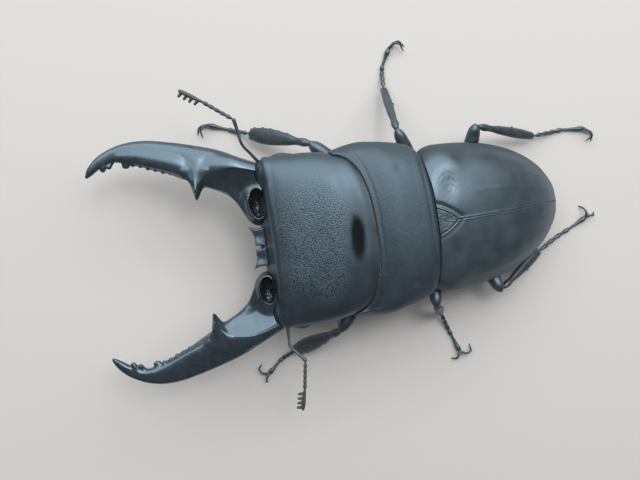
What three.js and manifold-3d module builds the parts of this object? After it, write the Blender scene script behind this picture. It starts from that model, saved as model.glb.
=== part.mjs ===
// Male giant flat stag beetle, life size, standing with its jaws wide open.
// Millimetres. +Z is up and the floor is z = 0; the head points to -Y, the tail to +Y,
// and the beetle's right side is -X. The origin is the middle of the footprint, on the floor.
import * as THREE from 'three';
import { mergeVertices } from 'three/addons/utils/BufferGeometryUtils.js';
import Module from 'manifold-3d';

const wasm = await Module();
wasm.setup();

// ---------------------------------------------------------------- driving dimensions
const GAP = 0.25;                 // clearance between neighbouring plates
const SOCKET_GAP = 0.06;          // clearance round each eye
const PALP_GAP = 0.1;             // clearance round the palps
const RIGHT = -1;
const LEFT = 1;
const SIDES = { right: RIGHT, left: LEFT };

// Posture: the waist is the joint between forebody and hindbody.
const WAIST_HEIGHT = 13;
const HIND_PITCH = 16;            // degrees that the hindbody slopes down to the tail
const HIND_YAW = 2;               // degrees that the tail swings to the left
const FORE_PITCH = 8;             // degrees that the prothorax rises to the head
const NECK_FORWARD = 11;          // waist to neck
const HEAD_YAW = 2.2;             // degrees that the head turns to the right
const HEAD_OFFSET = 0.2;          // the head sits this far to the left of the waist
const JAW_OFFSET = 0.65;          // and the jaws this far to the left on the head
const HIND_OFFSET = 0.35;         // the hindbody sits this far to the left of the waist

// Head, in its own frame: x across, y back from the jaws, origin at the neck.
const HEAD_FRONT = -19.2;
const HEAD_HALF_WIDTH = 15.9;
const HEAD_TOP = 5.1;
const HEAD_BOTTOM = 5.5;
const HEAD_SQUARENESS = 2.7;
const EYE = { x: 15.0, y: -13.7, z: -0.9, across: 1.15, along: 1.7, up: 1.45 };
const CLYPEUS = { half: 3.9, corner: 3.6, front: -22.5, notch: -20.0, rear: -18.0, thick: 1.3, z: -1.1 };
const CLYPEUS_OFFSET = 0.3;       // the clypeus sits this far to the left on the head
const CHEEK = { x: 13.1, y: -18.3, z: 0.3, across: 2.5, along: 1.8, up: 1.7 };

// Prothorax, in a frame at the waist.
const PRONOTUM_HALF_WIDTH = 16.5;
const PRONOTUM_FRONT = -17.4;     // tips of the front angles
const PRONOTUM_NECK_EDGE = -11.4; // middle of the front margin
const PRONOTUM_TOP = 6.0;
const PRONOTUM_BOTTOM = 5.9;

// Wing cases and hindbody, in a frame at the waist.
const ELYTRA_HALF_WIDTH = 14.15;
const ELYTRA_LENGTH = 30.0;
const ELYTRA_HEIGHT = 6.5;
const ELYTRA_WIDEST = 4;
const ELYTRA_THICK = 1.0;
const ELYTRA_RIM = -1.5;          // lower edge of the wing cases
const SCUTELLUM = { half: 2.6, front: 0.4, tip: 3.9, thick: 0.9 };
const BELLY_DEPTH = 6.1;
const THORAX_END = 11.6;
const INNER_POINTS = 6;           // points across the hidden side of the wing cases

// Legs and feelers.
const KNEE_START = -0.2;          // from the knee's point to the start of the shin of a straight leg
const KNEE_BEND_START = 0.85;     // and how much further it starts for each radian of bend
const BLADE_PLACE = 0.72;         // share of the shin's length at which it is widest
const SPINE_REACH = 0.4;          // how far the spines stand out from the shin's edge
const ANKLE_GAP = 0.5;            // from the end of the shin to the start of the foot
const ELBOW_GAP = 0.5;            // from the end of a feeler's scape to its whip
const CLUB_GAP = 0.4;             // from the end of the whip to the club

// Colours.
const CHITIN = 0x23282d;
const GLOSSY_CHITIN = 0x1d2126;
const LEG_CHITIN = 0x1b1a1b;
const EYE_COLOUR = 0x120d0a;

// ---------------------------------------------------------------- solid helpers
const V = (x, y, z) => new THREE.Vector3(x, y, z);
const rad = THREE.MathUtils.degToRad;

function signedVolume(positions, index) {
  let sum = 0;
  for (let i = 0; i < index.length; i += 3) {
    const [a, b, c] = [0, 1, 2].map((k) => new THREE.Vector3().fromArray(positions, 3 * index[i + k]));
    sum += a.dot(b.cross(c));
  }
  return sum / 6;
}

// The triangles of the flat lid that closes a ring, wound like the ring itself.
function lid(ring, start) {
  const normal = V(0, 0, 0);
  ring.forEach((p, i) => normal.add(p.clone().cross(ring[(i + 1) % ring.length])));
  normal.normalize();
  const across = ring[0].clone().sub(ring[Math.floor(ring.length / 2)]).normalize();
  const up = normal.clone().cross(across);
  const flat = ring.map((p) => new THREE.Vector2(p.dot(across), p.dot(up)));
  return THREE.ShapeUtils.triangulateShape(flat, []).flatMap(([a, b, c]) => {
    const turn = flat[b].clone().sub(flat[a]).cross(flat[c].clone().sub(flat[a]));
    return turn > 0 ? [start + a, start + b, start + c] : [start + a, start + c, start + b];
  });
}

// One closed skin through rings of points; a ring of one point is a tip.
function loft(rings) {
  const positions = [];
  const index = [];
  const starts = rings.map((ring) => {
    const start = positions.length / 3;
    ring.forEach((p) => positions.push(p.x, p.y, p.z));
    return start;
  });
  for (let r = 0; r + 1 < rings.length; r += 1) {
    const here = rings[r];
    const next = rings[r + 1];
    const count = Math.max(here.length, next.length);
    const at = (ring, start, i) => start + (ring.length === 1 ? 0 : i % count);
    for (let i = 0; i < count; i += 1) {
      const a = at(here, starts[r], i);
      const b = at(here, starts[r], i + 1);
      const c = at(next, starts[r + 1], i + 1);
      const d = at(next, starts[r + 1], i);
      if (here.length > 1) index.push(a, b, c);
      if (next.length > 1) index.push(a, c, d);
    }
  }
  const last = rings.length - 1;
  if (rings[0].length > 1) {
    const front = lid(rings[0], starts[0]);
    for (let i = 0; i < front.length; i += 3) index.push(front[i], front[i + 2], front[i + 1]);
  }
  if (rings[last].length > 1) index.push(...lid(rings[last], starts[last]));
  if (signedVolume(positions, index) < 0) index.reverse();
  const geometry = new THREE.BufferGeometry();
  geometry.setAttribute('position', new THREE.Float32BufferAttribute(positions, 3));
  geometry.setIndex(index);
  return geometry;
}

// Points of a rounded outline of half sizes 1; a power of 2 is an ellipse, more is squarer
// and less is keeled. The upper and the lower half have a power each. A turn of 0 puts points
// on the edges and the keel, and one of 0.5 puts flats there.
function roundSection(sides, upperPower = 2, lowerPower = upperPower, turn = 0.5) {
  return Array.from({ length: sides }, (_, i) => {
    const angle = (2 * Math.PI * (i + turn)) / sides;
    const power = 2 / (Math.sin(angle) > 0 ? upperPower : lowerPower);
    const bend = (v) => Math.sign(v) * Math.abs(v) ** power;
    return new THREE.Vector2(bend(Math.cos(angle)), bend(Math.sin(angle)));
  });
}

// A trunk piece: each station is [y, half width, top, bottom], and grow swells the whole piece.
function trunkLoft(stations, sides, upperPower, lowerPower, grow = 0) {
  const section = roundSection(sides, upperPower, lowerPower);
  const ends = [0, stations.length - 1];
  return loft(stations.map(([y, half, top, bottom], k) => {
    const push = ends.includes(k) ? (k === 0 ? -grow : grow) : 0;
    return section.map((s) => V(
      s.x * (half + grow),
      y + push,
      s.y * (s.y > 0 ? top + grow : bottom + grow),
    ));
  }));
}

// A limb piece along a smooth line. Each station is [point, half width, half height]; up is the
// direction of the height. A last half width of zero makes a tip.
function limb(stations, {
  sides = 8, steps = 2, up = V(0, 0, 1), power = 2, lower = power, turn = 0.5, grow = 0,
}) {
  const section = roundSection(sides, power, lower, turn);
  const curve = new THREE.CatmullRomCurve3(stations.map(([p]) => p), false, 'centripetal');
  const spans = stations.length - 1;
  const rings = [];
  for (let k = 0; k <= spans * steps; k += 1) {
    const t = k / (spans * steps);
    const span = Math.min(Math.floor(k / steps), spans - 1);
    const mix = THREE.MathUtils.smoothstep(k / steps - span, 0, 1);
    const [, wide0, high0] = stations[span];
    const [, wide1, high1] = stations[span + 1];
    const wide = THREE.MathUtils.lerp(wide0, wide1, mix);
    const high = THREE.MathUtils.lerp(high0, high1, mix);
    const centre = curve.getPoint(t);
    if (wide === 0 && grow === 0) {
      rings.push([centre]);
      continue;
    }
    const along = curve.getTangent(t);
    const across = along.clone().cross(up).normalize();
    const top = across.clone().cross(along).normalize();
    rings.push(section.map((s) => centre.clone()
      .addScaledVector(across, s.x * (wide + grow))
      .addScaledVector(top, s.y * (high + grow))));
  }
  return loft(rings);
}

function toSolid(geometry) {
  const bare = geometry.clone();
  bare.deleteAttribute('normal');
  bare.deleteAttribute('uv');
  const merged = mergeVertices(bare, 1e-4);
  return new wasm.Manifold(new wasm.Mesh({
    numProp: 3,
    vertProperties: new Float32Array(merged.getAttribute('position').array),
    triVerts: new Uint32Array(merged.index.array),
  }));
}

function toGeometry(solid) {
  const mesh = solid.getMesh();
  const geometry = new THREE.BufferGeometry();
  geometry.setAttribute('position', new THREE.Float32BufferAttribute(mesh.vertProperties, 3));
  geometry.setIndex(Array.from(mesh.triVerts));
  return geometry;
}

// Only the largest lump of a cut is kept, so that no sliver is left loose.
function largest(solid) {
  return solid.decompose().sort((a, b) => b.volume() - a.volume())[0];
}

const join = (...shapes) => toGeometry(shapes.map(toSolid).reduce((all, one) => all.add(one)));
const cut = (shape, ...cutters) => toGeometry(
  largest(cutters.map(toSolid).reduce((rest, one) => rest.subtract(one), toSolid(shape))),
);
const within = (shape, mould) => toGeometry(largest(toSolid(shape).intersect(toSolid(mould))));
const mirrored = (geometry, side) => {
  if (side === LEFT) return geometry;
  const other = geometry.clone().scale(-1, 1, 1);
  other.setIndex(Array.from(other.index.array).reverse());
  return other;
};

// The same shape, seen from another group's frame.
function seenFrom(geometry, own, target) {
  own.updateWorldMatrix(true, false);
  target.updateWorldMatrix(true, false);
  const matrix = target.matrixWorld.clone().invert().multiply(own.matrixWorld);
  return geometry.clone().applyMatrix4(matrix);
}

function ellipsoid(centre, radii, around = 12, down = 8) {
  const ball = new THREE.SphereGeometry(1, around, down);
  ball.scale(radii.x, radii.y, radii.z);
  ball.translate(centre.x, centre.y, centre.z);
  return ball;
}

function addMesh(group, name, geometry, color, roughness) {
  const mesh = new THREE.Mesh(
    geometry,
    new THREE.MeshStandardMaterial({ color, roughness, metalness: 0, flatShading: true }),
  );
  mesh.name = name;
  group.add(mesh);
  return mesh;
}

// ---------------------------------------------------------------- frames of the body
const beetle = new THREE.Group();

const forebody = new THREE.Group();
forebody.position.set(0, 0, WAIST_HEIGHT);
forebody.rotation.x = -rad(FORE_PITCH);
beetle.add(forebody);

const hindbody = new THREE.Group();
hindbody.position.set(HIND_OFFSET, 0, WAIST_HEIGHT);
hindbody.rotation.set(-rad(HIND_PITCH), 0, -rad(HIND_YAW), 'ZXY');
beetle.add(hindbody);

const headGroup = new THREE.Group();
headGroup.position.set(
  HEAD_OFFSET,
  -NECK_FORWARD * Math.cos(rad(FORE_PITCH)),
  WAIST_HEIGHT + NECK_FORWARD * Math.sin(rad(FORE_PITCH)),
);
headGroup.rotation.z = -rad(HEAD_YAW);
beetle.add(headGroup);

// ---------------------------------------------------------------- head
function headShell(grow = 0) {
  const wide = HEAD_HALF_WIDTH;
  return trunkLoft([
    [HEAD_FRONT, wide - 1.4, 1.7, 2.6],
    [HEAD_FRONT + 0.5, wide - 0.5, 2.6, 3.4],
    [HEAD_FRONT + 2.1, wide - 0.1, 3.6, 4.3],
    [-14.5, wide, 4.2, 4.9],
    [-11, wide, 4.7, 5.3],
    [-7, wide - 0.5, HEAD_TOP, HEAD_BOTTOM],
    [-3.6, wide - 1.5, HEAD_TOP - 0.1, HEAD_BOTTOM - 0.1],
    [-1, wide - 3.2, HEAD_TOP - 0.5, HEAD_BOTTOM - 0.6],
    [1, wide - 5.6, HEAD_TOP - 1.1, HEAD_BOTTOM - 1.3],
    [2.4, wide - 9.4, HEAD_TOP - 2.2, HEAD_BOTTOM - 2.6],
  ], 20, HEAD_SQUARENESS, 2.4, grow);
}

const eyeCentre = (side) => V(side * EYE.x, EYE.y, EYE.z);

function eyeball(side, grow = 0) {
  return ellipsoid(eyeCentre(side), V(EYE.across + grow, EYE.along + grow, EYE.up + grow), 9, 6);
}

// The head's front corners stand out beside the jaws' roots.
function cheek(side, grow = 0) {
  const { x, y, z, across, along, up } = CHEEK;
  return ellipsoid(V(side * x, y, z), V(across + grow, along + grow, up + grow), 8, 5);
}

// The canthus is the ledge that runs back from the cheek over the front of the eye.
function canthus(side) {
  return limb([
    [V(side * (EYE.x - 1.0), EYE.y - 3.9, EYE.z + 1.0), 0.4, 0.3],
    [V(side * (EYE.x + 0.3), EYE.y - 2.6, EYE.z + 1.1), 0.85, 0.45],
    [V(side * (EYE.x + 0.55), EYE.y - 0.9, EYE.z + 1.5), 0.8, 0.4],
    [V(side * (EYE.x + 0.1), EYE.y + 0.8, EYE.z + 1.9), 0.35, 0.25],
  ], { sides: 6, steps: 1 });
}

const headWithLedges = join(headShell(), cheek(RIGHT), cheek(LEFT), canthus(RIGHT), canthus(LEFT));
const eyeSockets = [eyeball(RIGHT, SOCKET_GAP), eyeball(LEFT, SOCKET_GAP)];
addMesh(headGroup, 'head', cut(headWithLedges, ...eyeSockets), CHITIN, 0.5);

function clypeusPlate() {
  const { half, corner, front, notch, rear, thick, z } = CLYPEUS;
  const outline = new THREE.Shape();
  outline.moveTo(-half, rear);
  outline.lineTo(-corner + 0.2, front + 1.7);
  outline.lineTo(-corner, front);
  outline.lineTo(-1.6, front + 0.75);
  outline.lineTo(-0.5, front + 0.7);
  outline.lineTo(0, notch);
  outline.lineTo(0.5, front + 0.7);
  outline.lineTo(1.6, front + 0.75);
  outline.lineTo(corner, front);
  outline.lineTo(corner - 0.2, front + 1.7);
  outline.lineTo(half, rear);
  outline.closePath();
  const plate = new THREE.ExtrudeGeometry(outline, { depth: thick, bevelEnabled: false });
  return plate.translate(CLYPEUS_OFFSET, 0, z);
}

addMesh(headGroup, 'clypeus', cut(clypeusPlate(), headShell(GAP)), CHITIN, 0.45);

// Lower lip plate under the front of the head.
function mentumPlate() {
  return limb([
    [V(0, -20.6, -3.2), 2.6, 0.35],
    [V(0, -19.4, -3.4), 4.0, 0.6],
    [V(0, -17.0, -4.0), 5.2, 1.2],
    [V(0, -14.2, -4.6), 4.8, 1.2],
    [V(0, -13.2, -4.9), 3.6, 0.8],
  ], { sides: 8, steps: 1, power: 2.6 });
}

function palp(side, grow = 0) {
  return limb([
    [V(side * 2.4, -20.5, -2.3), 0.3, 0.3],
    [V(side * 2.7, -21.1, -2.5), 0.4, 0.36],
    [V(side * 2.5, -21.7, -2.7), 0.26, 0.26],
    [V(side * 2.1, -22.1, -2.9), 0.38, 0.36],
    [V(side * 1.7, -22.3, -3.1), 0, 0],
  ], { sides: 6, steps: 1, grow });
}

const palpRoots = [palp(RIGHT, PALP_GAP), palp(LEFT, PALP_GAP)];
addMesh(headGroup, 'mentum', cut(mentumPlate(), headShell(GAP), ...palpRoots), CHITIN, 0.5);

// ---------------------------------------------------------------- jaws
// The jaw's middle line on the left side: [x, y, z, half width, half height].
const JAW_LINE = [
  [9.0, -16.6, -0.8, 4.4, 2.2],
  [10.7, -19.9, -0.8, 4.3, 2.4],
  [13.7, -23.3, -0.9, 3.1, 2.2],
  [15.6, -27.1, -1.0, 3.05, 2.0],
  [17.3, -31.4, -1.0, 2.8, 1.8],
  [19.0, -35.8, -0.9, 2.4, 1.6],
  [20.05, -39.4, -0.7, 2.1, 1.4],
  [20.5, -42.6, -0.4, 1.6, 1.2],
  [20.2, -45.2, -0.1, 1.2, 1.0],
  [19.1, -47.5, 0.2, 0.95, 0.8],
  [17.5, -49.3, 0.4, 0.6, 0.55],
  [16.5, -50.15, 0.5, 0, 0],
];
// Ahead of from, each tip turns inward by its own amount and reaches forward by a share of it.
const TIP_BEND = { from: -42, length: 8, forward: 0.6, right: -0.4, left: 0.6 };
// The jaw's inner root corner is a lobe with a pit on top.
const JAW_LOBE = { centre: V(8.2, -20.4, -0.7), radii: V(3.9, 2.8, 2.0) };
const JAW_PIT = { centre: V(8.3, -20.6, 1.4), radii: V(2.4, 1.3, 1.1) };
const JAW_OPENING = { right: -0.2, left: 0.4 };   // degrees that each jaw swings outward
const JAW_HINGE = { across: 10, along: -18 };
// The small teeth along the inner edge, from the tip back, bowed outward in the middle of the row.
const SAW = { count: 7, start: V(18.3, -42.6, -0.5), end: V(15.85, -35.4, -0.9), bow: 0.2, reach: 0.3 };

// A tooth is a short cone from its root, inside the jaw, to its point.
function tooth(root, point, wide, high, sides = 4) {
  return limb([[root, wide, high], [point, 0, 0]], { sides, steps: 1 });
}

function jaw(name) {
  const bent = ([x, y, z, wide, high]) => {
    const inward = TIP_BEND[name] * Math.max((TIP_BEND.from - y) / TIP_BEND.length, 0) ** 2;
    return [V(x - inward, y - TIP_BEND.forward * inward, z), wide, high];
  };
  const blade = limb(
    JAW_LINE.map(bent),
    { sides: 8, steps: 2, power: 1.6, lower: 2.4, turn: 0 },
  );
  const mainTooth = limb([
    [V(15.0, -30.1, -0.9), 2.0, 1.5],
    [V(12.3, -30.7, -0.8), 0.95, 0.95],
    [V(10.9, -31.1, -0.7), 0.5, 0.5],
    [V(10.6, -31.2, -0.7), 0, 0],
  ], { sides: 6, steps: 1 });
  const tipTooth = tooth(V(19.3, -46.3, 0), V(17.7, -46.8, 0.1), 0.6, 0.6);
  const saw = [];
  for (let i = 0; i < SAW.count; i += 1) {
    const t = i / (SAW.count - 1);
    const point = SAW.start.clone().lerp(SAW.end, t);
    const root = point.clone().add(V(1.3, 0.1, 0));
    point.x += SAW.bow * Math.sin(Math.PI * t) - SAW.reach * (1 - 0.6 * t);
    saw.push(tooth(root, point, 0.55, 0.6));
  }
  const lobe = ellipsoid(JAW_LOBE.centre, JAW_LOBE.radii, 8, 6);
  const pit = ellipsoid(JAW_PIT.centre, JAW_PIT.radii, 8, 6);
  return cut(join(blade, lobe, mainTooth, tipTooth, ...saw), pit);
}

// ---------------------------------------------------------------- prothorax
function prothoraxShell(grow = 0) {
  const wide = PRONOTUM_HALF_WIDTH;
  const top = PRONOTUM_TOP;
  const deep = PRONOTUM_BOTTOM;
  return trunkLoft([
    [PRONOTUM_FRONT, wide - 1.1, top - 1.6, deep - 1.6],
    [-16, wide - 0.6, top - 1.3, deep - 1.2],
    [-14.2, wide - 0.1, top - 0.9, deep - 0.8],
    [-12.5, wide, top - 0.6, deep - 0.5],
    [-9.5, wide - 0.4, top - 0.1, deep],
    [-6, wide - 1.0, top, deep],
    [-3.2, wide - 1.7, top - 0.2, deep - 0.1],
    [-1.4, wide - 2.5, top - 0.6, deep - 0.4],
    [-0.4, wide - 3.9, top - 1.0, deep - 0.9],
    [0.2, wide - 6.4, top - 1.5, deep - 1.6],
  ], 20, 2.35, 2.2, grow);
}

// What lies ahead of the front margin, which runs forward beside the head to the front angles.
function frontMarginCutter() {
  const edge = [[14.7, -18], [14.5, -16.2], [13.4, -14.2], [11.2, -12.7], [7.6, -11.7]];
  const outline = new THREE.Shape();
  outline.moveTo(-edge[0][0], -30);
  const right = edge.map(([x, y]) => new THREE.Vector2(-x, y));
  const left = edge.map(([x, y]) => new THREE.Vector2(x, y)).reverse();
  right.concat([new THREE.Vector2(0, PRONOTUM_NECK_EDGE)], left).forEach((p) => outline.lineTo(p.x, p.y));
  outline.lineTo(edge[0][0], -30);
  outline.closePath();
  const block = new THREE.ExtrudeGeometry(outline, { depth: 20, bevelEnabled: false });
  return block.translate(0, 0, -10);
}

// ---------------------------------------------------------------- wing cases and hindbody
// Half width of the wing cases, inset by the given amount, at a distance behind the waist.
function elytraHalfWidth(y, inset) {
  const length = ELYTRA_LENGTH - inset;
  if (y <= ELYTRA_WIDEST) {
    const shoulder = ((ELYTRA_WIDEST - y) / ELYTRA_WIDEST) ** 3;
    return ELYTRA_HALF_WIDTH - inset - 1.3 * Math.max(shoulder, 0);
  }
  const t = (y - ELYTRA_WIDEST) / (length - ELYTRA_WIDEST);
  return (ELYTRA_HALF_WIDTH - inset) * Math.max(1 - t ** 2.2, 0) ** 0.55;
}

function elytraHeight(y, inset) {
  const highest = 8;
  const length = ELYTRA_LENGTH - inset;
  if (y <= highest) return ELYTRA_HEIGHT - inset - 1.1 * ((highest - y) / highest) ** 2;
  const t = (y - highest) / (length - highest);
  return (ELYTRA_HEIGHT - inset) * Math.max(1 - t ** 2.5, 0) ** 0.6;
}

// A dome of the wing cases' shape; below the rim line it goes straight down to floorZ.
function elytraDome(inset, front, floorZ, half = 13) {
  const last = ELYTRA_LENGTH - inset - 0.2;
  const stations = [front, 1.5, 4];
  const SPANS = 8;
  for (let k = 1; k <= SPANS; k += 1) {
    stations.push(4 + (last - 4) * Math.sin((Math.PI / 2) * (k / SPANS)));
  }
  const rings = stations.map((y) => {
    const wide = elytraHalfWidth(y, inset);
    const high = elytraHeight(y, inset);
    const ring = Array.from({ length: half }, (_, i) => {
      const angle = (Math.PI * i) / (half - 1);
      const bend = 2 / 2.3;
      const x = wide * Math.sign(Math.cos(angle)) * Math.abs(Math.cos(angle)) ** bend;
      return V(x, y, high * Math.sin(angle) ** bend);
    });
    ring.push(V(-wide + 0.35, y, floorZ), V(wide - 0.35, y, floorZ));
    return ring;
  });
  return loft(rings);
}

function scutellumPrism(grow = 0) {
  const { half, front, tip } = SCUTELLUM;
  const outline = new THREE.Shape();
  outline.moveTo(-half - grow, front - grow);
  outline.quadraticCurveTo(-half + 0.4, (front + tip) / 2 + grow, 0, tip + 2 * grow);
  outline.quadraticCurveTo(half - 0.4, (front + tip) / 2 + grow, half + grow, front - grow);
  outline.closePath();
  const prism = new THREE.ExtrudeGeometry(outline, { depth: 6, bevelEnabled: false, curveSegments: 4 });
  return prism.translate(0, 0, 3);
}

// Half of space on one side of the seam between the wing cases.
function seamBlock(side) {
  const block = new THREE.BoxGeometry(40, 80, 40);
  return block.translate(side * (20 - GAP / 2), 10, 0);
}

function elytron(side) {
  const inner = elytraDome(ELYTRA_THICK, -2, ELYTRA_RIM - 3, INNER_POINTS);
  const shell = cut(elytraDome(0, 0.3, ELYTRA_RIM), inner, seamBlock(-side), scutellumPrism(GAP / 2));
  return cut(shell, seenFrom(prothoraxShell(GAP), forebody, hindbody));
}

function scutellumPlate() {
  const lower = elytraDome(SCUTELLUM.thick, -3, -4);
  const plate = within(elytraDome(0, 0.1, ELYTRA_RIM), scutellumPrism());
  return cut(plate, lower, seenFrom(prothoraxShell(GAP), forebody, hindbody));
}

// Belly stations behind the waist: [y, depth below the waist plane].
function bellyStations(from, to, count, groove) {
  const inset = ELYTRA_THICK + GAP;
  return Array.from({ length: count }, (_, i) => {
    const y = THREE.MathUtils.lerp(from, to, i / (count - 1));
    const tail = Math.max((y - 9) / (ELYTRA_LENGTH - inset - 9), 0);
    const step = i % 2 === 1 ? groove : 0;
    const depth = BELLY_DEPTH * (1 - 0.72 * tail ** 2.4) - step;
    return [y, elytraHalfWidth(y, inset) - 0.15 - step / 2, elytraHeight(y, inset) - 0.1, depth];
  });
}

// The hindbody fills the space under the wing cases.
const underWings = (belly) => within(
  belly,
  elytraDome(ELYTRA_THICK + GAP, -3, -2 * BELLY_DEPTH, INNER_POINTS),
);
const thoraxLoft = (grow = 0) => trunkLoft(bellyStations(0.6, THORAX_END - GAP, 4, 0), 12, 3, 2.3, grow);
const abdomenLoft = (grow = 0) => trunkLoft(bellyStations(THORAX_END, 28.1, 9, 0.28), 12, 3, 2.1, grow);

// ---------------------------------------------------------------- legs
// Every point is in the beetle's own frame, right side or left side as it stands. The toes are
// the ends of the short foot joints and of the long last one. Each claw has a knuckle, a bend and a tip.
const LEGS = {
  fore_right: {
    coxa: [V(-2.2, -8.6, 8.6), V(-8.6, -10.4, 8.0)],
    hip: V(-8.7, -10.9, 7.6), knee: V(-17.7, -19.2, 10.2), ankle: V(-21.85, -30.2, 2.6),
    toes: [V(-23.5, -34.2, 0.42), V(-24.9, -37.8, 0.7)],
    claws: [
      [V(-24.8, -39.0, 1.6), V(-24.0, -39.8, 1.5), V(-22.6, -39.6, 0.8)],
      [V(-25.1, -39.0, 0.5), V(-24.7, -40.1, 0.35), V(-23.4, -40.6, -0.12)],
    ],
    kind: 'fore',
  },
  fore_left: {
    coxa: [V(2.2, -8.6, 8.6), V(8.6, -10.4, 8.0)],
    hip: V(8.7, -10.9, 7.6), knee: V(18.9, -19.4, 10.2), ankle: V(23.1, -28.6, 2.6),
    toes: [V(25.3, -32.3, 0.42), V(27.4, -34.8, 0.7)],
    claws: [
      [V(27.1, -36.2, 1.2), V(26.1, -36.8, 1.0), V(25.4, -36.2, -0.12)],
      [V(28.1, -35.5, 1.2), V(28.9, -35.7, 1.0), V(29.5, -35.5, -0.12)],
    ],
    kind: 'fore',
  },
  mid_right: {
    coxa: [V(-2.4, 2.3, 7.4), V(-8.0, 2.0, 7.0)],
    hip: V(-8.2, 1.0, 6.9), knee: V(-17.5, -2.6, 11.0), ankle: V(-26.4, -2.2, 2.4),
    toes: [V(-31.0, -1.4, 0.42), V(-34.1, 0.3, 0.7)],
    claws: [
      [V(-35.0, 1.4, 1.6), V(-34.8, 2.6, 1.5), V(-33.3, 3.4, 0.8)],
      [V(-35.3, 1.6, 0.5), V(-35.5, 2.8, 0.35), V(-34.3, 3.9, -0.12)],
    ],
    kind: 'mid',
  },
  mid_left: {
    coxa: [V(2.4, 2.3, 7.4), V(8.0, 2.0, 7.0)],
    hip: V(8.2, 1.4, 6.9), knee: V(17.4, -0.2, 11.2), ankle: V(21.1, 2.6, 2.2),
    toes: [V(26.5, 4.5, 0.42), V(30.2, 5.7, 0.7)],
    claws: [
      [V(31.0, 6.9, 1.2), V(30.7, 8.1, 1.0), V(29.4, 8.3, -0.12)],
      [V(31.3, 5.3, 1.2), V(31.8, 4.7, 1.0), V(31.8, 3.9, -0.12)],
    ],
    kind: 'mid',
  },
  hind_right: {
    coxa: [V(-1.6, 9.0, 4.9), V(-9.2, 9.6, 4.9)],
    hip: V(-8.2, 11.1, 4.5), knee: V(-15.9, 13.1, 9.4), ankle: V(-12.05, 27.2, 2.4),
    toes: [V(-12.4, 34.3, 0.42), V(-11.9, 38.8, 0.7)],
    claws: [
      [V(-11.0, 39.9, 1.6), V(-10.0, 40.2, 1.5), V(-9.2, 39.2, 0.8)],
      [V(-11.1, 40.2, 0.5), V(-10.1, 40.8, 0.35), V(-8.9, 40.5, -0.12)],
    ],
    kind: 'hind',
  },
  hind_left: {
    coxa: [V(2.4, 9.0, 4.9), V(9.9, 9.6, 4.9)],
    hip: V(9.0, 11.1, 4.5), knee: V(17.2, 13.9, 8.5), ankle: V(11.9, 25.2, 2.4),
    toes: [V(8.7, 33.1, 0.42), V(6.9, 36.8, 0.7)],
    claws: [
      [V(5.8, 37.1, 1.2), V(4.9, 36.8, 1.0), V(4.1, 36.1, -0.12)],
      [V(6.5, 37.8, 1.2), V(6.6, 38.6, 1.0), V(6.0, 39.3, -0.12)],
    ],
    kind: 'hind',
  },
};

// Half widths along each kind of leg.
const LEG_SIZES = {
  fore: {
    coxa: 2.1, femur: 1.55, femurThick: 1.25,
    tibiaKnee: 0.75, tibiaBlade: 1.6, tibiaEnd: 1.25, tibiaThick: 0.7, spines: 5,
  },
  mid: {
    coxa: 1.9, femur: 1.3, femurThick: 1.1,
    tibiaKnee: 0.7, tibiaBlade: 0.82, tibiaEnd: 0.78, tibiaThick: 0.65, spines: 1,
  },
  hind: {
    coxa: 1.7, femur: 1.4, femurThick: 1.1,
    tibiaKnee: 0.65, tibiaBlade: 1.0, tibiaEnd: 0.85, tibiaThick: 0.65, spines: 1,
  },
};

const mix = (a, b, t) => a.clone().lerp(b, t);
const FLOOR = new THREE.BoxGeometry(200, 200, 10).translate(0, 0, -5);
const onFloor = (geometry) => cut(geometry, FLOOR);

function coxa(leg, grow = 0) {
  const [inner, outer] = leg.coxa;
  const size = LEG_SIZES[leg.kind].coxa;
  return limb([
    [inner, size * 0.55, size * 0.5],
    [mix(inner, outer, 0.25), size * 0.95, size * 0.85],
    [mix(inner, outer, 0.7), size, size * 0.85],
    [outer, size * 0.6, size * 0.5],
  ], { sides: 6, steps: 1, grow });
}

// The upper side of a leg piece faces the body's midline on the way down to the foot.
function femur(leg) {
  const { femur: wide, femurThick: thick } = LEG_SIZES[leg.kind];
  const { hip, knee } = leg;
  const bulge = mix(hip, knee, 0.5).add(V(0, 0, 0.5));
  return limb([
    [hip, 0.7, 0.6],
    [mix(hip, knee, 0.1), 1.0, 0.85],
    [mix(hip, knee, 0.18), 0.9, 0.8],
    [bulge, wide, thick],
    [mix(hip, knee, 0.86).add(V(0, 0, 0.2)), wide * 0.85, thick * 0.9],
    [mix(hip, knee, 0.97), wide * 0.6, thick * 0.65],
  ], { sides: 8, steps: 1 });
}

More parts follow.
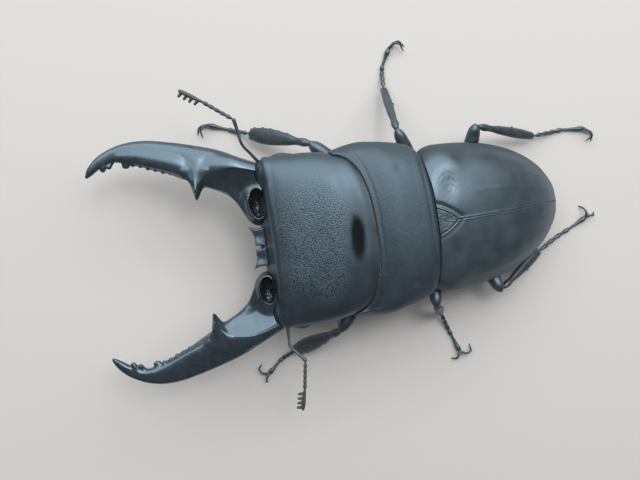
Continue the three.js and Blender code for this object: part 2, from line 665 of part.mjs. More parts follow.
function tibia(leg) {
  const sizes = LEG_SIZES[leg.kind];
  const along = leg.ankle.clone().sub(leg.knee).normalize();
  const flatWay = V(0, 0, 1).cross(along).cross(along).normalize();
  const outward = V(0, 0, 1).cross(along).normalize();
  const bend = leg.knee.clone().sub(leg.hip).angleTo(along);
  const start = leg.knee.clone().addScaledVector(along, KNEE_START + KNEE_BEND_START * bend);
  const halfWidth = (t) => THREE.MathUtils.lerp(
    sizes.tibiaKnee,
    sizes.tibiaBlade,
    Math.min(t / BLADE_PLACE, 1),
  );
  const shaft = limb([
    [start, sizes.tibiaKnee * 0.8, sizes.tibiaThick * 0.8],
    [mix(start, leg.ankle, 0.08), sizes.tibiaKnee * 1.1, sizes.tibiaThick],
    [mix(start, leg.ankle, 0.35), halfWidth(0.32), sizes.tibiaThick],
    [mix(start, leg.ankle, BLADE_PLACE), sizes.tibiaBlade, sizes.tibiaThick * 0.95],
    [leg.ankle, sizes.tibiaEnd, sizes.tibiaThick * 0.75],
  ], { sides: 8, steps: 1, up: flatWay.negate(), power: 1.8 });
  // The outer edge faces away from the body; on a middle shin it faces the tail.
  const side = Math.sign(leg.knee.x);
  const edgeTurn = { fore: side, mid: leg.ankle.y < 0 ? -1 : 1, hind: -side };
  const edgeWay = outward.clone().multiplyScalar(edgeTurn[leg.kind]);
  const spines = [];
  for (let i = 0; i < sizes.spines; i += 1) {
    const t = sizes.spines === 1 ? 0.55 : 0.35 + 0.14 * i;
    const half = halfWidth(t);
    const root = mix(start, leg.ankle, t).addScaledVector(edgeWay, half * 0.5);
    const point = root.clone()
      .addScaledVector(edgeWay, half * 0.5 + SPINE_REACH)
      .addScaledVector(along, SPINE_REACH);
    spines.push(tooth(root, point, 0.5, 0.35));
  }
  const spurs = [-1, 1].map((way) => {
    const root = mix(start, leg.ankle, 0.94).addScaledVector(outward, way * sizes.tibiaEnd * 0.55);
    const point = leg.ankle.clone()
      .addScaledVector(outward, way * (sizes.tibiaEnd + 0.25))
      .addScaledVector(along, 0.7);
    return tooth(root, point, 0.45, 0.35);
  });
  return join(shaft, ...spines, ...spurs);
}

// Four short foot joints and a long last one that swells toward the claws.
function tarsus(leg) {
  const [middle, end] = leg.toes;
  const along = middle.clone().sub(leg.ankle).normalize();
  const start = leg.ankle.clone().addScaledVector(along, ANKLE_GAP);
  const stations = [];
  const SHORT = 4;
  const onWay = (t) => {
    const p = mix(start, middle, t);
    p.z = THREE.MathUtils.lerp(start.z, middle.z, Math.min(1, t * 1.5));
    return p;
  };
  for (let i = 0; i < SHORT; i += 1) {
    stations.push([onWay(i / SHORT), 0.3, 0.3]);
    stations.push([onWay((i + 0.75) / SHORT), 0.46, 0.46]);
  }
  stations.push([middle, 0.28, 0.28]);
  stations.push([mix(middle, end, 0.55), 0.34, 0.34]);
  stations.push([mix(middle, end, 0.9), 0.52, 0.5]);
  stations.push([end, 0.34, 0.34]);
  return onFloor(limb(stations, { sides: 5, steps: 1 }));
}

// Two hooked claws on a common root. A tip below the floor is cut flat there.
function claws(leg) {
  const [middle, end] = leg.toes;
  const along = end.clone().sub(middle).setZ(0).normalize();
  const root = end.clone().addScaledVector(along, 0.25);
  const hooks = leg.claws.map(([knuckle, bend, tip]) => limb([
    [root, 0.3, 0.3],
    [knuckle, 0.27, 0.28],
    [bend, 0.25, 0.25],
    [tip, 0.12, 0.12],
  ], { sides: 4, steps: 1 }));
  return onFloor(join(...hooks));
}

// The plates that a thigh passes close under, swollen by the clearance.
function platesOver(leg) {
  if (leg.kind === 'fore') return [seenFrom(prothoraxShell(GAP), forebody, beetle)];
  return [
    seenFrom(thoraxLoft(GAP), hindbody, beetle),
    seenFrom(abdomenLoft(GAP), hindbody, beetle),
    seenFrom(elytraDome(-GAP, 0.1, ELYTRA_RIM - GAP), hindbody, beetle),
  ];
}

for (const [name, leg] of Object.entries(LEGS)) {
  const group = new THREE.Group();
  group.position.copy(leg.hip);
  beetle.add(group);
  const place = (piece, geometry, colour) => {
    const { x, y, z } = leg.hip;
    addMesh(group, `leg_${name}_${piece}`, geometry.translate(-x, -y, -z), colour, 0.4);
  };
  place('coxa', coxa(leg), LEG_CHITIN);
  place('femur', cut(femur(leg), coxa(leg, GAP), ...platesOver(leg)), LEG_CHITIN);
  place('tibia', tibia(leg), LEG_CHITIN);
  place('tarsus', tarsus(leg), LEG_CHITIN);
  place('claws', claws(leg), LEG_CHITIN);
}

// ---------------------------------------------------------------- body plates, cut to fit
const legsOf = (kind) => Object.values(LEGS).filter((leg) => leg.kind === kind);
const coxaSockets = (kind, frame) => legsOf(kind).map((leg) => seenFrom(coxa(leg, GAP), beetle, frame));

function prothorax() {
  const headSocket = seenFrom(headShell(GAP), headGroup, forebody);
  return cut(prothoraxShell(), headSocket, frontMarginCutter(), ...coxaSockets('fore', forebody));
}

function thorax() {
  const waistCutter = seenFrom(prothoraxShell(GAP), forebody, hindbody);
  const sockets = [...coxaSockets('mid', hindbody), ...coxaSockets('hind', hindbody)];
  return cut(underWings(thoraxLoft()), waistCutter, ...sockets);
}

const abdomen = () => cut(underWings(abdomenLoft()), ...coxaSockets('hind', hindbody));

addMesh(forebody, 'prothorax', prothorax(), CHITIN, 0.5);
addMesh(hindbody, 'thorax', thorax(), CHITIN, 0.5);
addMesh(hindbody, 'abdomen', abdomen(), CHITIN, 0.45);
addMesh(hindbody, 'scutellum', scutellumPlate(), CHITIN, 0.45);

// ---------------------------------------------------------------- feelers
// The scape runs from the cheek to the elbow; the whip ends in a comb of four leaves.
const FEELERS = {
  right: {
    root: V(-15.6, -29.4, 14.6), bend: V(-19.2, -31.8, 16.4), elbow: V(-23.7, -32.5, 17.0),
    whip: V(-27.5, -37.2, 17.2), tip: V(-30.1, -40.9, 17.0), comb: V(0.6, 0.5, -0.1),
  },
  left: {
    root: V(15.9, -29.5, 14.0), bend: V(18.8, -29.7, 14.4), elbow: V(22.1, -27.3, 15.0),
    whip: V(27.6, -28.3, 14.6), tip: V(31.6, -29.3, 14.0), comb: V(-0.2, -0.85, -0.1),
  },
};

function scape({ root, bend, elbow }) {
  return limb([
    [root, 0.36, 0.36],
    [mix(root, bend, 0.5), 0.28, 0.28],
    [bend, 0.28, 0.28],
    [mix(bend, elbow, 0.6), 0.32, 0.32],
    [elbow, 0.4, 0.4],
  ], { sides: 6, steps: 1 });
}

function funicle({ elbow, whip }) {
  const along = whip.clone().sub(elbow).normalize();
  const start = elbow.clone().addScaledVector(along, ELBOW_GAP);
  const BEADS = 5;
  const stations = [];
  for (let i = 0; i < BEADS; i += 1) {
    stations.push([mix(start, whip, i / BEADS), 0.26, 0.26]);
    stations.push([mix(start, whip, (i + 0.7) / BEADS), 0.38, 0.38]);
  }
  stations.push([whip, 0.28, 0.28]);
  return limb(stations, { sides: 5, steps: 1 });
}

function club({ whip, tip, comb }) {
  const LEAVES = 4;
  const along = tip.clone().sub(whip).normalize();
  const start = whip.clone().addScaledVector(along, CLUB_GAP);
  const stem = limb([
    [start, 0.28, 0.28],
    [mix(start, tip, 0.85), 0.42, 0.42],
    [tip, 0.3, 0.3],
  ], { sides: 5, steps: 1 });
  const leaves = Array.from({ length: LEAVES }, (_, i) => {
    const root = mix(start, tip, (i + 0.55) / LEAVES);
    const end = root.clone().addScaledVector(comb, 1.15).addScaledVector(along, 0.25);
    return limb([
      [root, 0.3, 0.28],
      [end, 0.24, 0.24],
    ], { sides: 4, steps: 1 });
  });
  return join(stem, ...leaves);
}

// ---------------------------------------------------------------- paired pieces
// What a jaw or a feeler is cut by at its root.
const headNear = (side) => [headShell(GAP), cheek(side, GAP)];

for (const [name, side] of Object.entries(SIDES)) {
  addMesh(hindbody, `elytron_${name}`, elytron(side), GLOSSY_CHITIN, 0.32);
  addMesh(headGroup, `eye_${name}`, eyeball(side), EYE_COLOUR, 0.15);
  addMesh(headGroup, `palp_${name}`, palp(side), LEG_CHITIN, 0.45);

  const swing = new THREE.Group();
  const hinge = V(side * JAW_HINGE.across, JAW_HINGE.along, 0);
  swing.position.set(hinge.x + JAW_OFFSET, hinge.y, hinge.z);
  swing.rotation.z = side * rad(JAW_OPENING[name]);
  headGroup.add(swing);
  const blade = mirrored(jaw(name), side).translate(-hinge.x, -hinge.y, -hinge.z);
  const hingeCutters = headNear(side).map((shape) => seenFrom(shape, headGroup, swing));
  addMesh(swing, `mandible_${name}`, cut(blade, ...hingeCutters), GLOSSY_CHITIN, 0.3);

  const rootCutters = headNear(side).map((shape) => seenFrom(shape, headGroup, beetle));
  addMesh(beetle, `antenna_${name}_scape`, cut(scape(FEELERS[name]), ...rootCutters), LEG_CHITIN, 0.4);
  addMesh(beetle, `antenna_${name}_funicle`, funicle(FEELERS[name]), LEG_CHITIN, 0.4);
  addMesh(beetle, `antenna_${name}_club`, club(FEELERS[name]), LEG_CHITIN, 0.5);
}

// ---------------------------------------------------------------- origin
const model = new THREE.Group();
model.add(beetle);
const box = new THREE.Box3().setFromObject(model, true);
const middle = box.getCenter(V(0, 0, 0));
beetle.position.set(-middle.x, -middle.y, -box.min.z);

export default model;
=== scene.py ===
"""A life-size male giant flat stag beetle, standing with its toothed jaws wide open.

Each piece starts as clay: a grid of distances in millimetres that strokes, shells and cuts change.
Its zero level becomes a fine closed mesh, which gets its relief and then its place on the frame.
"""
import math

import bpy
import numpy as np
from mathutils import Matrix, Vector


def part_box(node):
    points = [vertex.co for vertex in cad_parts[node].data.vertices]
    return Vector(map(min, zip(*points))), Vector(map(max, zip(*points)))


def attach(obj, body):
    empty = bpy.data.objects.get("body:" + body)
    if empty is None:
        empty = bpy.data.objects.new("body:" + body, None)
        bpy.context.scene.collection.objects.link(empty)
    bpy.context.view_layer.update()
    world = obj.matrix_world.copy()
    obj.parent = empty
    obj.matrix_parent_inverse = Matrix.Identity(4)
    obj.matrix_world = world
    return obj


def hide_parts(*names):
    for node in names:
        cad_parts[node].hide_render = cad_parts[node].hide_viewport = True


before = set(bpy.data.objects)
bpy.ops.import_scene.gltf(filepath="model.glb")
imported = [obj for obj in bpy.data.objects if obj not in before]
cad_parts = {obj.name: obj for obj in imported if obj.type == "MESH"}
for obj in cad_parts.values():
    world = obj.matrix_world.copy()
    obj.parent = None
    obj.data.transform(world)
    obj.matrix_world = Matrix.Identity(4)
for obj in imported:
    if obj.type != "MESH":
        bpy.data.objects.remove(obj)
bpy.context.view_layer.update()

# ---- driving sizes, in millimetres
MM = 0.001
GAP = 0.25                      # clearance between neighbouring plates
SEAM = 0.06                     # clearance where two plates lie close together
FAR = 50.0                      # a distance well away from any surface
COARSEN = 1.0
SIDES = {"right": -1, "left": 1}

WAIST_HEIGHT = 13.0
HIND_PITCH = 16.0
HIND_YAW = 2.0
HIND_OFFSET = 0.35
FORE_PITCH = 8.0
NECK_FORWARD = 11.0
HEAD_YAW = 2.2
HEAD_OFFSET = 0.2
JAW_OFFSET = 0.65
JAW_HINGE = (10.0, -18.0)
JAW_OPENING = {"right": -0.2, "left": 0.4}

# Head, in its own frame: x across, y back from the jaws, origin at the neck.
HEAD_HALF_WIDTH = 15.9
HEAD_TOP = 5.1
HEAD_BOTTOM = 5.5
HEAD_FRONT = -19.2
EYE = {"x": 15.0, "y": -13.7, "z": -0.9, "across": 1.15, "along": 1.7, "up": 1.45}
CHEEK = {"x": 13.1, "y": -18.3, "z": 0.3, "across": 2.5, "along": 1.8, "up": 1.7}
FOREHEAD = {"half": 10.5, "edge": -18.6, "rear": -17.0, "top": 2.0, "bottom": -1.0, "slope": 0.7}
HEAD_HOLLOW = 0.55              # how deep the front edge is hollowed at the middle
DISC = {"x": -0.3, "y": -10.9, "half": 14.0, "long": 7.2}      # the granular top of the head
POLISH_REFLECTION = {"x": 0.2, "y": -3.3, "half": 5.0, "long": 1.6}       # the smooth patch at its back, painted near-black as a dark reflection
CLYPEUS_FRONT = -22.5
CLYPEUS_OFFSET = 0.3            # the clypeus sits this far to the left on the head

# Prothorax, in a frame at the waist.
PRONOTUM_HALF_WIDTH = 16.5
PRONOTUM_FRONT = -17.4
PRONOTUM_NECK_EDGE = -11.4
PRONOTUM_TOP = 6.0
PRONOTUM_BOTTOM = 5.9

# Wing cases and hindbody, in a frame at the waist.
ELYTRA_HALF_WIDTH = 14.15
ELYTRA_LENGTH = 30.0
ELYTRA_HEIGHT = 6.5
ELYTRA_WIDEST = 4.0
ELYTRA_HIGHEST = 8.0
ELYTRA_THICK = 1.0
ELYTRA_RIM = -1.5
ELYTRA_FRONT = -1.4             # the wing cases start under the prothorax
DOME_POWER = 2.3                # how square the wing cases are in cross-section; 2 is an ellipse
# How the outline and the roof line fall toward the tail, as 1 - t ** first, to the power of second,
# and how much they narrow and drop at the front.
ELYTRA_OUTLINE = (2.2, 0.55)
ELYTRA_ROOF = (2.5, 0.6)
SHOULDER_NARROWING = 1.05
FRONT_DROP = 1.1
SCUTELLUM = {"half": 2.75, "front": -1.6, "tip": 3.2, "thick": 0.9}
BELLY_DEPTH = 6.1
THORAX_END = 11.6


# ---- frames
def shifted(x, y, z):
    matrix = np.eye(4)
    matrix[:3, 3] = (x, y, z)
    return matrix


def turned(axis, degrees):
    return np.array(Matrix.Rotation(math.radians(degrees), 4, axis))


BEETLE = np.eye(4)
FORE = shifted(0, 0, WAIST_HEIGHT) @ turned("X", -FORE_PITCH)
HIND = shifted(HIND_OFFSET, 0, WAIST_HEIGHT) @ turned("Z", -HIND_YAW) @ turned("X", -HIND_PITCH)
HEAD = shifted(
    HEAD_OFFSET,
    -NECK_FORWARD * math.cos(math.radians(FORE_PITCH)),
    WAIST_HEIGHT + NECK_FORWARD * math.sin(math.radians(FORE_PITCH)),
) @ turned("Z", -HEAD_YAW)
JAW = {}
for side_name, side in SIDES.items():
    hinge_x, hinge_y = JAW_HINGE[0] * side, JAW_HINGE[1]
    JAW[side_name] = (
        HEAD
        @ shifted(hinge_x + JAW_OFFSET, hinge_y, 0)
        @ turned("Z", side * JAW_OPENING[side_name])
        @ shifted(-hinge_x, -hinge_y, 0)
    )


def middle(node):
    low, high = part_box(node)
    return (np.array(low) + np.array(high)) / 2 / MM


def moved(matrix, points):
    return points @ matrix[:3, :3].T + matrix[:3, 3]


# The waist's place in the frame: across from the prothorax, and along from the eyes.
eyes_middle = (middle("eye_right") + middle("eye_left")) / 2
eyes_in_beetle = moved(HEAD, np.array([0, EYE["y"], EYE["z"]]))
ORIGIN = np.array([middle("prothorax")[0], eyes_middle[1] - eyes_in_beetle[1], 0.0])


# ---- smooth curves and blends
def spot(*values):
    return np.array(values, float)


def unit(vector):
    return vector / np.linalg.norm(vector)


def mix(a, b, t):
    return a + (b - a) * t


def rod(a, b, *rows):
    """Stations between two points: each row is a share of the way, a half width and a half height.

    A row without a half height is round.
    """
    return [(*mix(a, b, t), wide, *(high or [wide])) for t, wide, *high in rows]


def curve(keys, values, at):
    """A smooth curve through values at rising keys."""
    keys = np.asarray(keys, float)
    values = np.asarray(values, float)
    if values.ndim == 1:
        return curve(keys, values[:, None], at)[:, 0]
    slopes = np.gradient(values, keys, axis=0)
    at = np.asarray(at, float)
    i = np.clip(np.searchsorted(keys, at) - 1, 0, len(keys) - 2)
    span = (keys[i + 1] - keys[i])[:, None]
    t = (at - keys[i])[:, None] / span
    return (
        (2 * t**3 - 3 * t**2 + 1) * values[i]
        + (t**3 - 2 * t**2 + t) * span * slopes[i]
        + (3 * t**2 - 2 * t**3) * values[i + 1]
        + (t**3 - t**2) * span * slopes[i + 1]
    )


def path_through(stations, spacing):
    """Evenly spaced rows along a smooth line through stations that start with x, y, z."""
    rows = np.asarray(stations, float)
    steps = np.linalg.norm(np.diff(rows[:, :3], axis=0), axis=1)
    keys = np.concatenate([[0], np.cumsum(steps)])
    count = max(int(keys[-1] / spacing), 2) + 1
    return curve(keys, rows, np.linspace(0, keys[-1], count))


def least(a, b, blend=0.0):
    """The smaller of two distances; a blend makes a soft fillet where they meet."""
    if blend <= 0:
        return np.minimum(a, b)
    near = np.maximum(blend - np.abs(a - b), 0) / blend
    return np.minimum(a, b) - near * near * blend / 4


def most(a, b, blend=0.0):
    return -least(-a, -b, blend)


def bump(value, middle_at, half):
    """1 at middle_at, falling smoothly to almost 0 a little beyond half away."""
    return np.exp(-(((value - middle_at) / half) ** 2))


def mound(x, y, at, half):
    """A bump over an oval: 1 at the point at, with its own half size across and along."""
    return bump(np.hypot((x - at[0]) / half[0], (y - at[1]) / half[1]), 0, 1)


def ramp(value, start, end):
    """0 before start, 1 after end, and smooth between."""
    t = np.clip((value - start) / (end - start), 0, 1)
    return t * t * (3 - 2 * t)


def to_surface(norm, *offsets):
    """Distance to where norm is 1, along the line from the middle; offsets lead there from the middle."""
    radius = np.sqrt(sum(offset * offset for offset in offsets)) + 1e-3
    return radius - radius / (norm + 1e-3)


# ---- clay
class Clay:
    """A grid of distances in millimetres, below zero inside the piece."""

    def __init__(self, low, high, step):
        self.step = step * COARSEN
        self.low = np.asarray(low, float)
        counts = np.ceil((np.asarray(high, float) - self.low) / self.step).astype(int) + 1
        self.lines = [
            (self.low[k] + self.step * np.arange(counts[k])).astype(np.float32) for k in range(3)
        ]
        self.d = np.full(counts, FAR, np.float32)

    def grid(self):
        x, y, z = self.lines
        return x[:, None, None], y[None, :, None], z[None, None, :]

    def add(self, shape, blend=0.0):
        self.d = least(self.d, shape(*self.grid()), blend)

    def keep(self, shape, blend=0.0):
        self.d = most(self.d, shape(*self.grid()), blend)

    def cut(self, shape, blend=0.0):
        self.d = most(self.d, -shape(*self.grid()), blend)

    def block(self, low, high):
        """The part of the grid between two corners, as slices."""
        first = np.floor((low - self.low) / self.step).astype(int)
        last = np.ceil((high - self.low) / self.step).astype(int) + 1
        return [slice(max(a, 0), max(min(b, n), 0)) for a, b, n in zip(first, last, self.d.shape)]

    def stroke(self, stations, blend=0.0, up=(0, 0, 1), power=2.0, spacing=0.35):
        """Lays a limb along a smooth line through stations of x, y, z, half width and half height."""
        path = path_through(stations, spacing)
        path[:, 3:] = np.maximum(path[:, 3:], 0.03)
        reach = path[:, 3:].max() + blend + 2 * self.step
        whole = self.block(path[:, :3].min(0) - reach, path[:, :3].max(0) + reach)
        limb = np.full([s.stop - s.start for s in whole], FAR, np.float32)
        for start, end in zip(path[:-1], path[1:]):
            around = max(start[3:].max(), end[3:].max()) + blend + 2 * self.step
            low = np.minimum(start[:3], end[:3]) - around
            high = np.maximum(start[:3], end[:3]) + around
            part = self.block(low, high)
            inner = tuple(slice(p.start - w.start, p.stop - w.start) for p, w in zip(part, whole))
            limb[inner] = np.minimum(limb[inner], self.segment(part, start, end, up, power))
        whole = tuple(whole)
        self.d[whole] = least(self.d[whole], limb, blend)

    def segment(self, part, start, end, up, power):
        """Distances from one short stretch of a limb."""
        along = end[:3] - start[:3]
        length = np.linalg.norm(along)
        along = along / length
        across = np.cross(along, up)
        across /= np.linalg.norm(across)
        top = np.cross(across, along)
        x, y, z = (line[s] for line, s in zip(self.lines, part))
        x = (x - start[0])[:, None, None]
        y = (y - start[1])[None, :, None]
        z = (z - start[2])[None, None, :]
        run = x * along[0] + y * along[1] + z * along[2]
        t = np.clip(run / length, 0, 1)
        wide = start[3] + (end[3] - start[3]) * t
        high = start[4] + (end[4] - start[4]) * t
        over = run - t * length
        a = x * across[0] + y * across[1] + z * across[2]
        b = x * top[0] + y * top[1] + z * top[2]
        thinner = np.minimum(wide, high)
        if power == 2.0:
            norm = np.sqrt((a / wide) ** 2 + (b / high) ** 2 + (over / thinner) ** 2)
        else:
            terms = np.abs(a / wide) ** power + np.abs(b / high) ** power + np.abs(over / thinner) ** power
            norm = terms ** (1 / power)
        return to_surface(norm, a, b, over).astype(np.float32)

    def surface(self):
        """The closed mesh of quads at the zero level."""
        d = self.d
        inside = d < 0
        inside[0] = inside[-1] = False
        inside[:, 0] = inside[:, -1] = False
        inside[:, :, 0] = inside[:, :, -1] = False
        shape = np.array(d.shape) - 1
        count = np.zeros(shape, np.int8)
        corners = [(i, j, k) for i in (0, 1) for j in (0, 1) for k in (0, 1)]
        for i, j, k in corners:
            count += inside[i:shape[0] + i, j:shape[1] + j, k:shape[2] + k]
        cells = (count > 0) & (count < 8)
        number = np.full(shape, -1, np.int32)
        number[cells] = np.arange(cells.sum())
        at = np.argwhere(cells)
        total = np.zeros((len(at), 3))
        hits = np.zeros(len(at))
        for axis in range(3):
            step = np.eye(3, dtype=int)[axis]
            for corner in corners:
                if corner[axis]:
                    continue
                first = at + corner
                second = first + step
                a, b = d[tuple(first.T)], d[tuple(second.T)]
                crossing = inside[tuple(first.T)] != inside[tuple(second.T)]
                t = np.where(crossing, np.clip(a / np.where(a == b, 1, a - b), 0, 1), 0)
                total += crossing[:, None] * (np.asarray(corner) + t[:, None] * step)
                hits += crossing
        points = self.low + self.step * (at + total / hits[:, None])
        return points, self.quads(inside, number)

    def quads(self, inside, number):
        """One quad across each grid edge that passes the surface, between its four numbered cells."""
        faces = []
        for axis in range(3):
            step = np.eye(3, dtype=int)
            near = [slice(1, -1)] * 3
            far = [slice(1, -1)] * 3
            near[axis], far[axis] = slice(0, -1), slice(1, None)
            change = inside[tuple(near)] != inside[tuple(far)]
            cell = np.argwhere(change) + 1 - step[axis]
            b, c = step[(axis + 1) % 3], step[(axis + 2) % 3]
            ring = [number[tuple((cell - move).T)] for move in (b + c, c, 0 * b, b)]
            ring = np.stack(ring, axis=1)
            leaving = inside[tuple(cell.T)]
            ring[~leaving] = ring[~leaving][:, ::-1]
            faces.append(ring)
        return np.concatenate(faces)


RELAX_SHARES = (0.5, -0.52, 0.5, -0.52)     # toward the neighbours, and back out again


def relaxed(points, quads):
    """Points drawn toward the mean of their neighbours, then let out again to keep the volume."""
    starts = np.concatenate([quads[:, k] for k in range(4)])
    ends = np.concatenate([quads[:, (k + 1) % 4] for k in range(4)])
    count = np.bincount(starts, minlength=len(points)) + np.bincount(ends, minlength=len(points))
    for amount in RELAX_SHARES:
        total = np.stack([
            np.bincount(starts, points[ends, k], len(points))
            + np.bincount(ends, points[starts, k], len(points))
            for k in range(3)
        ], axis=1)
        points = points + amount * (total / count[:, None] - points)
    return points


def normals_of(points, quads):
    normal = np.cross(points[quads[:, 2]] - points[quads[:, 0]], points[quads[:, 3]] - points[quads[:, 1]])
    total = np.zeros_like(points)
    for k in range(4):
        for axis in range(3):
            total[:, axis] += np.bincount(quads[:, k], normal[:, axis], len(points))
    return total / (np.linalg.norm(total, axis=1, keepdims=True) + 1e-12)


# Any large uneven numbers: they scatter each grain within its own cell.
SCATTER = np.array([[127.1, 269.5, 113.5], [311.7, 183.3, 271.9], [74.7, 246.1, 124.6]])
SCATTER_SCALE = 43758.5453
GRAIN_RADIUS = 0.6              # in parts of the pitch


def grains(points, pitch):
    """Scattered round grains about pitch apart: 1 at a grain's middle, 0 between grains."""
    nearest = np.full(len(points), FAR)
    for step in np.ndindex(3, 3, 3):
        cell = np.floor(points / pitch) + np.array(step) - 1
        place = cell + (np.sin(cell @ SCATTER) * SCATTER_SCALE) % 1
        nearest = np.minimum(nearest, np.linalg.norm(points / pitch - place, axis=1))
    return np.clip(1 - (nearest / GRAIN_RADIUS) ** 2, 0, 1)


# ---- pieces
MATERIALS = {}


def placed(name, data):
    """A new object in the scene."""
    item = bpy.data.objects.new(name, data)
    bpy.context.scene.collection.objects.link(item)
    return item


def show(name, points, quads, material, marks=None, stands_for=None):
    """Makes the mesh in metres, gives it its material and marks, and lets it stand for CAD nodes."""
    mesh = bpy.data.meshes.new(name)
    mesh.vertices.add(len(points))
    mesh.vertices.foreach_set("co", ((points + ORIGIN) * MM).astype(np.float32).ravel())
    mesh.loops.add(quads.size)
    mesh.loops.foreach_set("vertex_index", quads.astype(np.int32).ravel())
    mesh.polygons.add(len(quads))
    mesh.polygons.foreach_set("loop_start", np.arange(0, quads.size, quads.shape[1], dtype=np.int32))
    mesh.update(calc_edges=True)
    mesh.polygons.foreach_set("use_smooth", np.ones(len(quads), bool))
    for mark, values in (marks or {}).items():
        mesh.attributes.new(mark, "FLOAT", "POINT").data.foreach_set("value", values.astype(np.float32))
    mesh.materials.append(MATERIALS[material])
    piece = placed(name + "_shape", mesh)
    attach(piece, "root")
    replaced = [name] if stands_for is None else stands_for
    if replaced:
        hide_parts(*replaced)
    return piece


def finish_clay(name, clay, place, material, relief=None, marks=None):
    """Turns clay into a piece: relief(points, normals) raises it, and marks name shader masks."""
    points, quads = clay.surface()
    points = relaxed(points, quads)
    if relief is not None:
        normals = normals_of(points, quads)
        points = points + normals * relief(points, normals)[:, None]
    values = {mark: rule(points) for mark, rule in (marks or {}).items()}
    return show(name, moved(place, points), quads, material, values)


# ---- hairs
HAIR_PATCH = 0.003              # side of each hair's own patch of the bake map
HAIR_RINGS = ((-0.15, 1.0), (0.5, 0.8))     # place along the hair, and share of its width there
HAIR_POINTS = 7                 # two rings of three, and the tip


class Hairs:
    """Gathers tapered, slightly bent hairs and joins them into one mesh."""

    def __init__(self, seed):
        self.random = np.random.default_rng(seed)
        self.rows = []

    def add(self, root, at, way, length, width, loose, bend=(0, 0, 0)):
        """One hair; at is its root's place on the unwrapped skin, loose how far way and length stray."""
        way = unit(np.asarray(way, float) + self.random.normal(0, loose, 3))
        length = length * self.random.uniform(1 - loose, 1 + loose)
        self.rows.append((*root, *way, length, width, *bend, *at))

    def show(self, name, place, material):
        rows = np.array(self.rows)
        root, way, bend, at = rows[:, 0:3], rows[:, 3:6], rows[:, 8:11], rows[:, 11:13]
        length, width = rows[:, 6:7], rows[:, 7:8]
        side = np.cross(way, (0.3, 0.2, 1.0))
        side /= np.linalg.norm(side, axis=1, keepdims=True)
        over = np.cross(side, way)
        rings = []
        for t, share in HAIR_RINGS:
            middle_line = root + way * length * t + bend * length * max(t, 0) ** 2
            for k in range(3):
                angle = 2 * math.pi * k / 3
                around = side * math.cos(angle) + over * math.sin(angle)
                rings.append(middle_line + around * width * share)
        rings.append(root + way * length + bend * length)
        points = np.stack(rings, axis=1).reshape(-1, 3)
        faces = [(2, 1, 0)]
        for k in range(3):
            n = (k + 1) % 3
            faces += [(k, n, 3 + n), (k, 3 + n, 3 + k), (3 + k, 3 + n, 6)]
        firsts = np.arange(len(rows))[:, None, None] * HAIR_POINTS
        faces = (firsts + np.array(faces)).reshape(-1, 3)
        piece = show(name, moved(place, points), faces, material, stands_for=())
        self.bake_map(piece, at, faces)

    def bake_map(self, piece, at, faces):
        """Each hair is a small patch at its root's place on an unwrap of the skin it grows from."""
        low, high = at.min(0), at.max(0)
        place = (at - low) / np.maximum(high - low, 0.01) * (1 - HAIR_PATCH)
        corner = np.array([(0, 0), (1, 0), (0.5, 1), (0, 0.5), (1, 0.5), (0.5, 0.8), (0.5, 0.4)])
        hair, vertex = np.divmod(faces.ravel(), HAIR_POINTS)
        uv = place[hair] + corner[vertex] * HAIR_PATCH
        piece.data.uv_layers.new(name="OFBake").data.foreach_set("uv", uv.astype(np.float32).ravel())


# ---- materials
CUTICLE_IOR = 1.68              # dark insect cuticle


